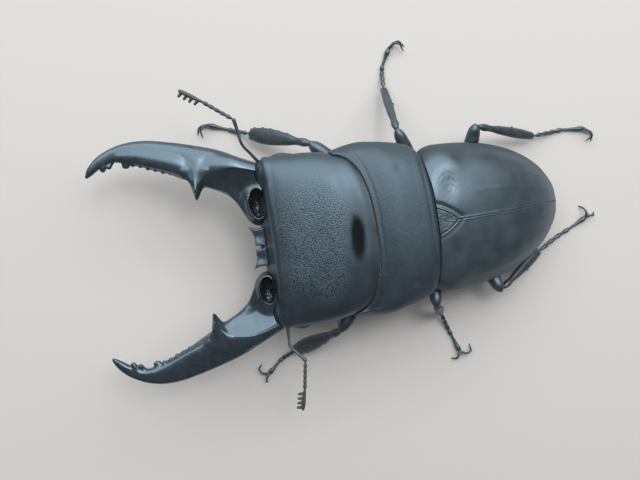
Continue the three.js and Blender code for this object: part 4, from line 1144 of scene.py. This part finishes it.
def behind_front_margin(x, y):
    """Roughly how far a point lies behind the front margin, which bends forward at the sides."""
    half, power, level = (FRONT_MARGIN[key] for key in ("half", "power", "level"))
    deep = PRONOTUM_NECK_EDGE - level
    ahead = np.maximum(y - level, 0) / deep
    norm = (np.abs(x / half) ** power + ahead**power) ** (1 / power)
    return (norm - 1) * deep


def edge_height(behind):
    """How high the pronotum may stand over the head at its margin: a thin lip that rises behind."""
    return 0.35 + 0.42 * behind + 0.03 * np.maximum(behind, 0) ** 2


def make_prothorax():
    clay = Clay((-17.6, -18.8, -7.0), (17.6, 1.6, 7.0), 0.16)
    clay.add(prothorax_shell)
    near_head = seen(head_form, HEAD, FORE)

    def over_lip(x, y, z):
        head_height = near_head(x, np.minimum(y, front_margin(x)), z)
        return head_height - edge_height(behind_front_margin(x, y))

    clay.keep(over_lip, blend=1.6)
    clay.cut(grown(near_head, SEAM), blend=0.1)
    clay.cut(lambda x, y, z: behind_front_margin(x, y) + 0 * z, blend=0.15)
    for leg in legs_of("fore"):
        clay.cut(seen(coxa_shape(leg, GAP), BEETLE, FORE), blend=0.2)

    def relief(points, normals):
        x, y, z = points.T
        outer = ramp(normals[:, 2], 0.15, 0.5)
        margin = behind_front_margin(x, y)
        front = 0.10 * bump(margin, 0.3, 0.22) - 0.08 * bump(margin, 0.8, 0.28)
        rear = 0.06 * bump(y, -0.6, 0.3) - 0.05 * bump(y, -1.2, 0.4)
        dents = -0.16 * bump(np.hypot(np.abs(x) - 10.6, y + 5.6), 0, 0.9)
        rough = 0.02 * (grains(points, 0.5) - 0.4)
        side_bead = 0.14 * bump(z, -0.2, 0.4) * (1 - ramp(np.abs(normals[:, 2]), 0.5, 0.8))
        return outer * (front + rear + dents + rough) + side_bead

    finish_clay("prothorax", clay, FORE, "pronotum", relief=relief)


def front_margin(x):
    """How far along the front margin lies at a distance across."""
    half, power = FRONT_MARGIN["half"], FRONT_MARGIN["power"]
    ahead = np.maximum(1 - np.abs(x / half) ** power, 0) ** (1 / power)
    return FRONT_MARGIN["level"] + (PRONOTUM_NECK_EDGE - FRONT_MARGIN["level"]) * ahead


def make_fringe():
    """A line of short golden hairs that lie forward over the head from the pronotum's lip."""
    hairs = Hairs(seed=3)
    near_head = seen(head_form, HEAD, FORE)
    heights = np.linspace(PRONOTUM_TOP, 0.0, 120)
    for x in np.arange(-FRINGE["reach"], FRINGE["reach"], FRINGE["spacing"]):
        x = x + hairs.random.uniform(-0.5, 0.5) * FRINGE["spacing"]
        y = float(front_margin(x)) + 0.12
        over_head = near_head(x, y, heights)
        low = heights[np.argmax(over_head < 0.2)]
        way, droop = (0.02 * x, -1, -0.1), (0, 0, -0.12)
        hairs.add((x, y, low), (x, y), way, FRINGE["length"], FRINGE["width"], 0.2, droop)
    hairs.show("pronotum_fringe", FORE, "golden_hair")


# ---- wing cases
def elytra_half_width(y, inset=0.0):
    length = ELYTRA_LENGTH - inset
    shoulder = np.maximum((ELYTRA_WIDEST - y) / ELYTRA_WIDEST, 0) ** 3
    t = np.clip((y - ELYTRA_WIDEST) / (length - ELYTRA_WIDEST), 0, 1)
    fall = (1 - t ** ELYTRA_OUTLINE[0]) ** ELYTRA_OUTLINE[1]
    return (ELYTRA_HALF_WIDTH - inset) * fall - SHOULDER_NARROWING * shoulder


def elytra_height(y, inset=0.0):
    length = ELYTRA_LENGTH - inset
    rise = np.maximum((ELYTRA_HIGHEST - y) / ELYTRA_HIGHEST, 0) ** 2
    t = np.clip((y - ELYTRA_HIGHEST) / (length - ELYTRA_HIGHEST), 0, 1)
    fall = (1 - t ** ELYTRA_ROOF[0]) ** ELYTRA_ROOF[1]
    return (ELYTRA_HEIGHT - inset) * fall - FRONT_DROP * rise


def dome(inset, front, floor_z):
    """Distance function of the wing cases' outer form, which goes straight down below z = 0."""
    def distance(x, y, z):
        wide = np.maximum(elytra_half_width(y, inset), 0.05)
        high = np.maximum(elytra_height(y, inset), 0.05)
        norm = (np.abs(x / wide) ** DOME_POWER + np.abs(z / high) ** DOME_POWER) ** (1 / DOME_POWER)
        over = to_surface(norm, x, z)
        under = np.abs(x) - wide - 0.2 * z
        side = np.where(z > 0, over, under)
        return most(side, most(front - y, floor_z - z), 0.2).astype(np.float32)

    return distance


def scutellum_prism(grow=0.0):
    half, front, tip = (SCUTELLUM[key] for key in ("half", "front", "tip"))
    t = np.linspace(0, 1, 7)[:, None]
    corner, point = spot(-half - grow, front - grow), spot(0, tip + 2 * grow)
    bend = spot(-half + 0.4, (front + tip) / 2 + grow)
    right_side = (1 - t) ** 2 * corner + 2 * t * (1 - t) * bend + t**2 * point
    left_side = right_side[-2::-1] * (-1, 1)
    return slab(np.concatenate([right_side, left_side]), 2.5, 9.0, 0.1)


def elytra_relief(points, normals):
    x, y, z = points.T
    right = ramp(-x, -0.5, 0.5)
    beside_scutellum = scutellum_prism()(x, y, 5.0)
    x = np.abs(x)
    outer = ramp(points[:, 2] * normals[:, 2] + x * 0.1 * np.abs(normals[:, 0]), 0.0, 0.4)
    seam = 0.06 * (1 - ramp(x, 0.1, 0.45))
    share = x / np.maximum(elytra_half_width(y), 1)
    ribs = 0.03 * (bump(share, 0.34, 0.035) + bump(share, 0.6, 0.035)) * ramp(y, 5, 9)
    shoulder = 0.38 * mound(x, y, (10.4, 3.6), (2.6, 2.2))
    hollow = -0.30 * mound(x, y, (6.6, 2.4), (2.6, 1.5))
    groove = -0.30 * bump(beside_scutellum, 0.75, 0.4) * (0.2 + 0.8 * right)
    wavy = np.sin(5.1 * x + 2.2 * np.sin(1.9 * y)) + np.sin(6.3 * y + 1.9 * np.sin(2.9 * x))
    wrinkles = 0.007 * wavy * right * mound(x, y, (7.0, 2.2), (3.5, 2.2))
    rear = -0.06 * bump(y, 27.2, 0.9)
    return outer * ramp(z, 0.8, 1.6) * (seam + ribs + shoulder + hollow + groove + wrinkles + rear)


def elytra_margin_reflection(points):
    """1 in the duller band along the outer edge of the wing cases, where a darker reflection is painted
    into the colour.
    """
    share = np.abs(points[:, 0]) / np.maximum(elytra_half_width(points[:, 1]), 1)
    return ramp(share + 0.25 * ramp(points[:, 1], 22, 29), 0.80, 0.93)


def make_elytron(name):
    side = SIDES[name]
    x_range = sorted(side * v for v in (-0.3, 14.9))
    clay = Clay((x_range[0], -2.2, -2.1), (x_range[1], 30.6, 7.3), 0.14)
    clay.add(dome(0, ELYTRA_FRONT, ELYTRA_RIM))
    clay.cut(dome(ELYTRA_THICK, -4, ELYTRA_RIM - 3))
    clay.cut(lambda x, y, z: side * x - SEAM / 2 + 0 * y * z, blend=0.05)
    clay.cut(scutellum_prism(SEAM), blend=0.12)
    clay.cut(seen(grown(prothorax_shell, 2 * SEAM), FORE, HIND), blend=0.3)

    def relief(points, normals):
        z = points[:, 2]
        outward = ramp(np.abs(normals[:, 0]), 0.6, 0.9) * (side * normals[:, 0] > 0)
        rim = 0.16 * bump(z, -0.75, 0.5) - 0.10 * bump(z, 0.35, 0.3)
        return elytra_relief(points, normals) + outward * rim * (np.abs(points[:, 0]) > 1)

    finish_clay(
        "elytron_" + name, clay, HIND, "elytra", relief=relief,
        marks={"margin": elytra_margin_reflection},
    )


def make_scutellum():
    clay = Clay((-3.3, -2.2, 3.0), (3.3, 4.6, 6.6), 0.07)
    clay.add(dome(0, ELYTRA_FRONT, ELYTRA_RIM))
    clay.keep(scutellum_prism(), blend=0.25)
    clay.cut(dome(SCUTELLUM["thick"], -5, -4))
    clay.cut(seen(grown(prothorax_shell, 2 * SEAM), FORE, HIND), blend=0.2)

    def relief(points, normals):
        x, y, _ = points.T
        dish = -0.14 * mound(x, y, (0, 1.6), (1.5, 1.2))
        return ramp(normals[:, 2], 0.4, 0.8) * (dish + 0.03 * grains(points, 0.4))

    finish_clay("scutellum", clay, HIND, "elytra", relief=relief)


# ---- underside of the hindbody
# Where each half of the belly starts and ends along, and how square it is underneath.
THORAX_BELLY = (0.6, THORAX_END - GAP, 2.3)
ABDOMEN_BELLY = (THORAX_END, 28.1, 2.1)
BELLY_PLATES = 5
PLATE_SEAMS = (THORAX_END + 2.2, 3.15)      # from where the seams are counted, and how far apart they are


def belly(first, last, lower_power):
    inset = ELYTRA_THICK + GAP
    y = np.linspace(first, last, 24)
    tail = np.maximum((y - 9) / (ELYTRA_LENGTH - inset - 9), 0)
    depth = BELLY_DEPTH * (1 - 0.72 * tail**2.4)
    rows = np.stack([
        y, np.maximum(elytra_half_width(y, inset) - 0.15, 0.6),
        np.maximum(elytra_height(y, inset) - 0.1, 0.6), depth,
    ], axis=1)
    return trunk(rows, 3, lower_power, ends=0.3)


def legs_of(kind):
    return [leg for leg in LEGS.values() if leg["kind"] == kind]


def make_thorax():
    clay = Clay((-14.0, -2.6, -6.9), (14.0, 12.2, 6.2), 0.2)
    clay.add(belly(*THORAX_BELLY))
    clay.keep(dome(ELYTRA_THICK + GAP, -3, -2 * BELLY_DEPTH))
    clay.cut(seen(grown(prothorax_shell, GAP), FORE, HIND), blend=0.2)
    for leg in legs_of("mid") + legs_of("hind"):
        clay.cut(seen(coxa_shape(leg, GAP), BEETLE, HIND), blend=0.25)

    def relief(points, normals):
        x, y, _ = points.T
        under = ramp(-normals[:, 2], 0.2, 0.6)
        keel = -0.10 * bump(x, 0, 0.22) * ramp(y, 4.5, 5.5)
        plates = -0.12 * bump(np.abs(x) - 8.2 - 0.18 * y, 0, 0.2) - 0.10 * bump(y, 4.4, 0.2)
        pores = -0.05 * grains(points, 0.9) * ramp(np.abs(x), 3.5, 6)
        return under * (keel + plates + pores)

    finish_clay("thorax", clay, HIND, "belly", relief=relief)


def make_abdomen():
    clay = Clay((-13.6, 11.0, -6.9), (13.6, 28.9, 6.2), 0.2)
    clay.add(belly(*ABDOMEN_BELLY))
    clay.keep(dome(ELYTRA_THICK + GAP, -3, -2 * BELLY_DEPTH))
    for leg in legs_of("hind"):
        clay.cut(seen(coxa_shape(leg, GAP), BEETLE, HIND), blend=0.25)

    def relief(points, normals):
        x, y, _ = points.T
        under = ramp(-normals[:, 2], 0.0, 0.5)
        height = -0.05 * grains(points, 0.8)
        for i in range(1, BELLY_PLATES):
            seam = PLATE_SEAMS[0] + PLATE_SEAMS[1] * i + 0.006 * x * x
            height = height - 0.26 * bump(y, seam, 0.28) + 0.14 * bump(y, seam - 0.8, 0.6)
        return under * height

    finish_clay("abdomen", clay, HIND, "belly", relief=relief)


# ---- legs
# The places of each leg, in the beetle's own frame: the coxa's two ends, hip and knee; the ankle, the
# end of the short foot joints and the end of the long one; and a knuckle, bend and tip for each claw.
LEG_PLACES = {
    "fore_right": (
        (-2.2, -8.6, 8.6), (-8.6, -10.4, 8.0), (-8.7, -10.9, 7.6), (-17.7, -19.2, 10.2),
        (-21.85, -30.2, 2.6), (-23.5, -34.2, 0.42), (-24.9, -37.8, 0.7),
        (-24.8, -39.0, 1.6), (-24.0, -39.8, 1.5), (-22.6, -39.6, 0.8),
        (-25.1, -39.0, 0.5), (-24.7, -40.1, 0.35), (-23.4, -40.6, 0.0),
    ),
    "fore_left": (
        (2.2, -8.6, 8.6), (8.6, -10.4, 8.0), (8.7, -10.9, 7.6), (18.9, -19.4, 10.2),
        (23.1, -28.6, 2.6), (25.3, -32.3, 0.42), (27.4, -34.8, 0.7),
        (27.1, -36.2, 1.2), (26.1, -36.8, 1.0), (25.4, -36.2, 0.0),
        (28.1, -35.5, 1.2), (28.9, -35.7, 1.0), (29.5, -35.5, 0.0),
    ),
    "mid_right": (
        (-2.4, 2.3, 7.4), (-8.0, 2.0, 7.0), (-8.2, 1.0, 6.9), (-17.5, -2.6, 11.0),
        (-26.4, -2.2, 2.4), (-31.0, -1.4, 0.42), (-34.1, 0.3, 0.7),
        (-35.0, 1.4, 1.6), (-34.8, 2.6, 1.5), (-33.3, 3.4, 0.8),
        (-35.3, 1.6, 0.5), (-35.5, 2.8, 0.35), (-34.3, 3.9, 0.0),
    ),
    "mid_left": (
        (2.4, 2.3, 7.4), (8.0, 2.0, 7.0), (8.2, 1.4, 6.9), (17.4, -0.2, 11.2),
        (21.1, 2.6, 2.2), (26.5, 4.5, 0.42), (30.2, 5.7, 0.7),
        (31.0, 6.9, 1.2), (30.7, 8.1, 1.0), (29.4, 8.3, 0.0),
        (31.3, 5.3, 1.2), (31.8, 4.7, 1.0), (31.8, 3.9, 0.0),
    ),
    "hind_right": (
        (-1.6, 9.0, 4.9), (-9.2, 9.6, 4.9), (-8.2, 11.1, 4.5), (-15.9, 13.1, 9.4),
        (-12.05, 27.2, 2.4), (-12.4, 34.3, 0.42), (-11.9, 38.8, 0.7),
        (-11.0, 39.9, 1.6), (-10.0, 40.2, 1.5), (-9.2, 39.2, 0.8),
        (-11.1, 40.2, 0.5), (-10.1, 40.8, 0.35), (-8.9, 40.5, 0.0),
    ),
    "hind_left": (
        (2.4, 9.0, 4.9), (9.9, 9.6, 4.9), (9.0, 11.1, 4.5), (17.2, 13.9, 8.5),
        (11.9, 25.2, 2.4), (8.7, 33.1, 0.42), (6.9, 36.8, 0.7),
        (5.8, 37.1, 1.2), (4.9, 36.8, 1.0), (4.1, 36.1, 0.0),
        (6.5, 37.8, 1.2), (6.6, 38.6, 1.0), (6.0, 39.3, 0.0),
    ),
}
LEGS = {}
for leg_name, leg_places in LEG_PLACES.items():
    inner, outer, hip, knee, ankle, short_end, long_end, *claws = (spot(*place) for place in leg_places)
    LEGS[leg_name] = {
        "kind": leg_name.split("_")[0], "coxa": (inner, outer), "hip": hip, "knee": knee,
        "ankle": ankle, "toes": (short_end, long_end), "claws": (claws[:3], claws[3:]),
    }

# Half widths along each kind of leg. The blade is the shin's widest place.
LEG_SIZES = {
    "fore": {
        "coxa": 2.1, "femur": 1.55, "femur_thick": 1.25,
        "knee": 0.75, "blade": 1.6, "end": 1.15, "thick": 0.7, "spines": 5, "spine_reach": 0.2,
    },
    "mid": {
        "coxa": 1.9, "femur": 1.3, "femur_thick": 1.1,
        "knee": 0.7, "blade": 0.82, "end": 0.6, "thick": 0.65, "spines": 1,
    },
    "hind": {
        "coxa": 1.7, "femur": 1.4, "femur_thick": 1.1,
        "knee": 0.65, "blade": 1.0, "end": 0.66, "thick": 0.65, "spines": 1,
    },
}
KNEE_START = -0.2               # from the knee's point to the start of the shin of a straight leg
KNEE_BEND_START = 0.85          # and how much further it starts for each radian of bend
BLADE_PLACE = 0.72
ANKLE_GAP = 0.5
FEMUR_ARCH = (0, 0, 0, 0.5, 0.35, 0.1, 0)   # how far each station of a thigh is raised
SPINE_PLACE = 0.55              # a single spine's place along the shin
SPINE_ROW = (0.35, 0.14)        # the first place and the step of a row of spines


def coxa_shape(leg, grow=0.0):
    """Distance function of the hip joint: one long ellipsoid across the underside."""
    inner, outer = leg["coxa"]
    size = LEG_SIZES[leg["kind"]]["coxa"]
    centre, along = mix(inner, outer, 0.48), unit(outer - inner)
    half = np.linalg.norm(outer - inner) / 2 + size * 0.45
    across = unit(np.cross(along, (0, 0, 1)))
    top = np.cross(across, along)

    def distance(x, y, z):
        a, b, c = x - centre[0], y - centre[1], z - centre[2]
        run = (a * along[0] + b * along[1] + c * along[2]) / (half + grow)
        wide = (a * across[0] + b * across[1] + c * across[2]) / (size * 0.97 + grow)
        high = (a * top[0] + b * top[1] + c * top[2]) / (size * 0.86 + grow)
        norm = (np.abs(run) ** 2.5 + np.abs(wide) ** 2.5 + np.abs(high) ** 2.5) ** 0.4
        return to_surface(norm, a, b, c)

    return distance


def clay_round(stations, step, margin=0.6):
    """Clay with room for all the given stations."""
    rows = np.array(stations)
    reach = rows[:, 3:5].max() + margin
    return Clay(rows[:, :3].min(0) - reach, rows[:, :3].max(0) + reach, step)


def finish_limb(name, clay, material="limb"):
    finish_clay(name, clay, BEETLE, material)


def above_floor(clay):
    """Cuts a small flat where the clay would reach under the floor."""
    clay.keep(lambda x, y, z: -z + 0 * x * y)


def make_coxa(name, leg):
    size = LEG_SIZES[leg["kind"]]["coxa"] + 0.5
    ends = np.array(leg["coxa"])
    clay = Clay(ends.min(0) - size, ends.max(0) + size, 0.15)
    clay.add(coxa_shape(leg))
    finish_limb(f"leg_{name}_coxa", clay, "belly")


def make_femur(name, leg):
    sizes = LEG_SIZES[leg["kind"]]
    wide, thick = sizes["femur"], sizes["femur_thick"]
    stations = np.array(rod(
        leg["hip"], leg["knee"], (0, 0.75, 0.65), (0.1, 1.0, 0.88), (0.2, 0.9, 0.85),
        (0.5, wide, thick), (0.75, wide * 0.96, thick * 0.97), (0.92, wide * 0.72, thick * 0.8),
        (0.98, wide * 0.45, thick * 0.55),
    ))
    stations[:, 2] += FEMUR_ARCH
    clay = clay_round(stations, 0.12)
    clay.stroke(stations)
    clay.cut(coxa_shape(leg, GAP), blend=0.15)
    if leg["kind"] == "fore":
        clay.cut(seen(grown(prothorax_shell, GAP), FORE, BEETLE), blend=0.1)
    else:
        for span in (THORAX_BELLY, ABDOMEN_BELLY):
            clay.cut(seen(grown(belly(*span), GAP), HIND, BEETLE), blend=0.1)
        clay.cut(seen(dome(-GAP, 0.1, ELYTRA_RIM - GAP), HIND, BEETLE), blend=0.1)
    finish_limb(f"leg_{name}_femur", clay)


def outer_edge(leg, along):
    """The way that a shin's outer edge faces."""
    outward = unit(np.cross((0, 0, 1), along))
    side = np.sign(leg["knee"][0])
    turn = {"fore": side, "mid": -1 if leg["ankle"][1] < 0 else 1, "hind": -side}
    return outward * turn[leg["kind"]]


def shin(leg):
    """Start, direction along, direction of the flat side, and half width at a share of the length."""
    sizes = LEG_SIZES[leg["kind"]]
    along = unit(leg["ankle"] - leg["knee"])
    bend = math.acos(np.clip(np.dot(unit(leg["knee"] - leg["hip"]), along), -1, 1))
    start = leg["knee"] + along * (KNEE_START + KNEE_BEND_START * bend)
    flat_way = unit(np.cross(along, np.cross((0, 0, 1), along)))

    def half_width(t):
        shares = (0, 0.08, 0.14, 0.35, BLADE_PLACE, 0.9, 0.97, 1)
        narrow, wide, end = sizes["knee"], sizes["blade"], sizes["end"]
        widths = (narrow * 0.8, narrow * 1.1, narrow * 0.95, mix(narrow, wide, 0.45), wide,
                  mix(wide, end, 0.6), end * 0.9, end * 0.5)
        return np.interp(t, shares, widths)

    return start, along, flat_way, half_width


BRISTLES_PER_EDGE = 16
TUFT_HAIRS = 26
BRISTLE_LENGTH, TUFT_LENGTH, BRISTLE_WIDTH = 0.42, 0.55, 0.03


def make_tibia(name, leg):
    sizes = LEG_SIZES[leg["kind"]]
    ankle = leg["ankle"]
    start, along, flat_way, half_width = shin(leg)
    outward = unit(np.cross((0, 0, 1), along))
    thick = sizes["thick"]
    depth = ((0, 0.8), (0.08, 1.08), (0.14, 0.95), (0.35, 1), (BLADE_PLACE, 0.95), (0.9, 0.9),
             (0.97, 0.75), (1, 0.5))
    stations = [(*mix(start, ankle, t), half_width(t), thick * share) for t, share in depth]
    clay = clay_round(stations, 0.09, margin=1.3)
    clay.stroke(stations, up=flat_way, power=2.3)
    edge = outer_edge(leg, along)
    for i in range(sizes["spines"]):
        t = SPINE_PLACE if sizes["spines"] == 1 else SPINE_ROW[0] + SPINE_ROW[1] * i
        half = half_width(t)
        root = mix(start, ankle, t) + edge * half * 0.5
        point = root + edge * (half * 0.5 + sizes.get("spine_reach", 0.3)) + along * 0.42
        spine = rod(root, point, (0, 0.5, 0.38), (0.65, 0.28, 0.24), (1, 0.08))
        clay.stroke(spine, blend=0.25, up=flat_way, spacing=0.2)
    for way in (-1, 1):
        root = mix(start, ankle, 0.9) + outward * way * sizes["end"] * 0.55
        point = ankle + outward * way * sizes["end"] * 0.9 + along * 0.1
        spur = rod(root, point, (0, 0.36, 0.32), (0.6, 0.22, 0.2), (1, 0.07))
        clay.stroke(spur, blend=0.3, up=flat_way, spacing=0.2)
    finish_limb(f"leg_{name}_tibia", clay)
    make_bristles(name, leg)


def make_bristles(name, leg):
    """Rows of dark bristles along both edges of a shin, and a tuft of golden ones at its end."""
    end, thick = (LEG_SIZES[leg["kind"]][key] for key in ("end", "thick"))
    start, along, flat_way, half_width = shin(leg)
    ankle = leg["ankle"]
    outward = unit(np.cross((0, 0, 1), along))
    hairs = Hairs(seed=len(name))
    for t in np.linspace(0.3, 0.97, BRISTLES_PER_EDGE):
        for way in (-1, 1):
            for lift in (-0.25, 0.25):
                root = mix(start, ankle, t + hairs.random.uniform(-0.01, 0.01))
                root = root + outward * way * half_width(t) * 0.93 + flat_way * lift * thick
                around = way * (1 + lift)
                aim = outward * way * 0.6 + along
                hairs.add(root, (t, around), aim, BRISTLE_LENGTH, BRISTLE_WIDTH, 0.2)
    hairs.show(f"leg_{name}_bristles", BEETLE, "dark_hair")
    tuft = Hairs(seed=len(name) + 20)
    for _ in range(TUFT_HAIRS):
        across, up = tuft.random.uniform(-0.8, 0.8, 2)
        root = mix(start, ankle, 0.97) + outward * across * end + flat_way * up * thick * 0.7
        aim = along + outward * across * 0.3
        tuft.add(root, (across, up), aim, TUFT_LENGTH, BRISTLE_WIDTH, 0.2)
    tuft.show(f"leg_{name}_tuft", BEETLE, "golden_hair")


FOOT_JOINTS = 4


def make_tarsus(name, leg):
    """Four short foot joints and a long last one that swells toward the claws."""
    middle_point, end = leg["toes"]
    along = unit(middle_point - leg["ankle"])
    start = leg["ankle"] + along * ANKLE_GAP
    corners = []
    for i in range(FOOT_JOINTS + 1):
        t = i / FOOT_JOINTS
        point = mix(start, middle_point, t)
        point[2] = mix(start[2], middle_point[2], min(1, t * 1.5))
        corners.append(point)
    last = corners[-1]
    clay = clay_round([(*start, 0.5, 0.5), (*last, 0.5, 0.5), (*end, 0.6, 0.6)], 0.055)
    for a, b in zip(corners[:-1], corners[1:]):
        joint = rod(a, b, (0.04, 0.21), (0.3, 0.31), (0.78, 0.45), (0.96, 0.34))
        clay.stroke(joint, blend=0.08, spacing=0.12)
    claw_joint = rod(last, end, (0, 0.22), (0.3, 0.28), (0.65, 0.38, 0.37), (0.88, 0.52, 0.49), (1, 0.36))
    clay.stroke(claw_joint, blend=0.08, spacing=0.12)
    above_floor(clay)
    finish_limb(f"leg_{name}_tarsus", clay)


def make_claws(name, leg):
    """Two hooked claws on a common root, with a bristle between them."""
    middle_point, end = leg["toes"]
    along = unit((end - middle_point) * (1, 1, 0))
    root = end + along * 0.25
    hooks = [
        rod(root, knuckle, (0, 0.3), (0.6, 0.24, 0.27), (1, 0.22, 0.26))
        + rod(bend, tip, (0, 0.19, 0.22), (0.6, 0.14, 0.16), (1, 0.07))
        for knuckle, bend, tip in leg["claws"]
    ]
    clay = clay_round(hooks[0] + hooks[1], 0.045, margin=0.35)
    for hook in hooks:
        clay.stroke(hook, blend=0.1, spacing=0.1)
    middle_way = unit(mix(leg["claws"][0][0], leg["claws"][1][0], 0.5) - root)
    bristle = [(*(root + middle_way * t), half, half) for t, half in ((0, 0.14), (0.7, 0.1), (1.1, 0.05))]
    clay.stroke(bristle, blend=0.05, spacing=0.1)
    above_floor(clay)
    finish_limb(f"leg_{name}_claws", clay)


# ---- feelers
# The places of each feeler, in the beetle's own frame: root, bend and elbow of its long first joint,
# end of the whip and tip; and then the way that the leaves of its comb point.
FEELERS = {
    "right": (
        (-15.6, -29.4, 14.6), (-19.2, -31.8, 16.4), (-23.7, -32.5, 17.0), (-27.5, -37.2, 17.2),
        (-30.1, -40.9, 17.0), (0.65, -0.45, -0.15),
    ),
    "left": (
        (15.9, -29.5, 14.0), (18.8, -29.7, 14.4), (22.1, -27.3, 15.0), (27.6, -28.3, 14.6),
        (31.6, -29.3, 14.0), (-0.2, -0.85, -0.1),
    ),
}
ELBOW_GAP = 0.5
CLUB_GAP = 0.4
WHIP_BEADS = 5
COMB_LEAVES = 4


def make_feeler(name):
    root, bend, elbow, whip, tip, comb = (spot(*place) for place in FEELERS[name])
    stations = rod(root, bend, (0, 0.34), (0.5, 0.26), (1, 0.26))
    stations += rod(bend, elbow, (0.6, 0.28), (1, 0.36))
    clay = clay_round(stations, 0.06, margin=0.4)
    clay.stroke(stations, spacing=0.25)
    for shape in (head_form, bulge(CHEEK, SIDES[name])):
        clay.cut(seen(grown(shape, SEAM), HEAD, BEETLE))
    finish_limb(f"antenna_{name}_scape", clay)

    along = unit(whip - elbow)
    start = elbow + along * ELBOW_GAP
    clay = clay_round([(*start, 0.4, 0.4), (*whip, 0.4, 0.4)], 0.05, margin=0.4)
    for i in range(WHIP_BEADS):
        a, b = mix(start, whip, i / WHIP_BEADS), mix(start, whip, (i + 1) / WHIP_BEADS)
        clay.stroke(rod(a, b, (0.02, 0.2), (0.6, 0.37), (0.95, 0.27)), blend=0.06, spacing=0.12)
    finish_limb(f"antenna_{name}_funicle", clay, "club")

    along = unit(tip - whip)
    start = whip + along * CLUB_GAP
    clay = clay_round([(*start, 1.6, 0.5), (*tip, 1.6, 0.5)], 0.05, margin=0.3)
    clay.stroke(rod(start, tip, (0, 0.26), (0.85, 0.36), (1, 0.28)), spacing=0.2)
    for i in range(COMB_LEAVES):
        leaf_root = mix(start, tip, (i + 0.55) / COMB_LEAVES)
        leaf_end = leaf_root + comb * 1.15 + along * 0.25
        leaf = rod(leaf_root, leaf_end, (0, 0.34, 0.26), (0.5, 0.3, 0.24), (1, 0.24, 0.22))
        clay.stroke(leaf, blend=0.12, spacing=0.12)
    finish_limb(f"antenna_{name}_club", clay, "club")


# ---- all pieces
make_head()
make_clypeus()
make_mentum()
make_prothorax()
make_fringe()
make_scutellum()
make_thorax()
make_abdomen()
for side_name in SIDES:
    make_eye(side_name)
    make_palp(side_name)
    make_jaw(side_name)
    make_elytron(side_name)
    make_feeler(side_name)
for leg_name, leg in LEGS.items():
    make_coxa(leg_name, leg)
    make_femur(leg_name, leg)
    make_tibia(leg_name, leg)
    make_tarsus(leg_name, leg)
    make_claws(leg_name, leg)


# ---- camera, lights and floor
CAMERA_LENS = 37.125            # for a 36 mm sensor
CAMERA_DISTANCE = 125.4         # from the waist, along the view
CAMERA_LEAN_RIGHT = 6.0         # degrees that the camera stands toward the beetle's right side
CAMERA_LEAN_HEAD = 4.0          # and toward its head
CAMERA_ROLL = -10.0
WAIST_IN_VIEW = (0.1614, 0.0318)   # the waist's place: across and up from the middle, per unit depth
# Each lamp's heading and lean in degrees, distance, width and height in metres, and power in watts.
LAMPS = {
    "window": (-10, 34, 0.5, 1.05, 0.44, 3.6),
    "sun_patch": (-30, 23, 0.5, 0.13, 0.13, 0.40),
    "side": (0, 68, 0.5, 0.6, 0.3, 0.6),
}
WORLD_LEVEL = 0.105
FLOOR_REACH = 3.0
FLOOR_COLOUR = (0.70, 0.69, 0.67)


def make_camera():
    data = bpy.data.cameras.new("camera")
    data.lens = CAMERA_LENS
    data.sensor_width = 36.0
    camera = placed("camera", data)
    # Right in the view is the tail, and up in the view is the beetle's right side.
    looking_down = Matrix(((0, -1, 0), (1, 0, 0), (0, 0, 1))).to_4x4()
    aim = (
        Matrix.Rotation(math.radians(-CAMERA_LEAN_RIGHT), 4, "Y")
        @ Matrix.Rotation(math.radians(CAMERA_LEAN_HEAD), 4, "X")
        @ looking_down
        @ Matrix.Rotation(math.radians(CAMERA_ROLL), 4, "Z")
    )
    waist = Vector(ORIGIN) + Vector((0, 0, WAIST_HEIGHT))
    reach = Vector((WAIST_IN_VIEW[0], WAIST_IN_VIEW[1], -1)) * CAMERA_DISTANCE
    place = waist - aim.to_3x3() @ reach
    camera.matrix_world = Matrix.Translation(place * MM) @ aim
    bpy.context.scene.camera = camera


def make_lamp(name, heading, lean, distance, wide, tall, watts):
    """A soft lamp aimed at the beetle, wide along the ground and tall along its lean.

    The heading turns from the beetle's right (0) toward its head (90), and lean is from overhead.
    """
    data = bpy.data.lights.new(name, "AREA")
    data.shape = "RECTANGLE"
    data.size = wide
    data.size_y = tall
    data.energy = watts
    lamp = placed(name, data)
    heading, lean = math.radians(heading), math.radians(lean)
    out = math.sin(lean)
    away = Vector((-math.cos(heading) * out, -math.sin(heading) * out, math.cos(lean)))
    lamp.location = away * distance
    lamp.rotation_euler = away.to_track_quat("Z", "Y").to_euler()


def make_floor():
    mesh = bpy.data.meshes.new("floor")
    corners = [(x * FLOOR_REACH, y * FLOOR_REACH, 0) for x, y in ((-1, -1), (1, -1), (1, 1), (-1, 1))]
    mesh.from_pydata(corners, [], [(0, 1, 2, 3)])
    paint = Paint("floor", 0.9)
    paint.shader.inputs["IOR"].default_value = 1.3
    paint.done((*FLOOR_COLOUR, 1))
    mesh.materials.append(paint.material)
    placed("floor", mesh)


def make_world():
    world = bpy.data.worlds.new("world")
    world.use_nodes = True
    sky = world.node_tree.nodes["Background"]
    sky.inputs["Color"].default_value = (1, 1, 1, 1)
    sky.inputs["Strength"].default_value = WORLD_LEVEL
    bpy.context.scene.world = world


make_camera()
for lamp_name, lamp_values in LAMPS.items():
    make_lamp(lamp_name, *lamp_values)
make_floor()
make_world()
bpy.context.scene.view_settings.view_transform = "Standard"
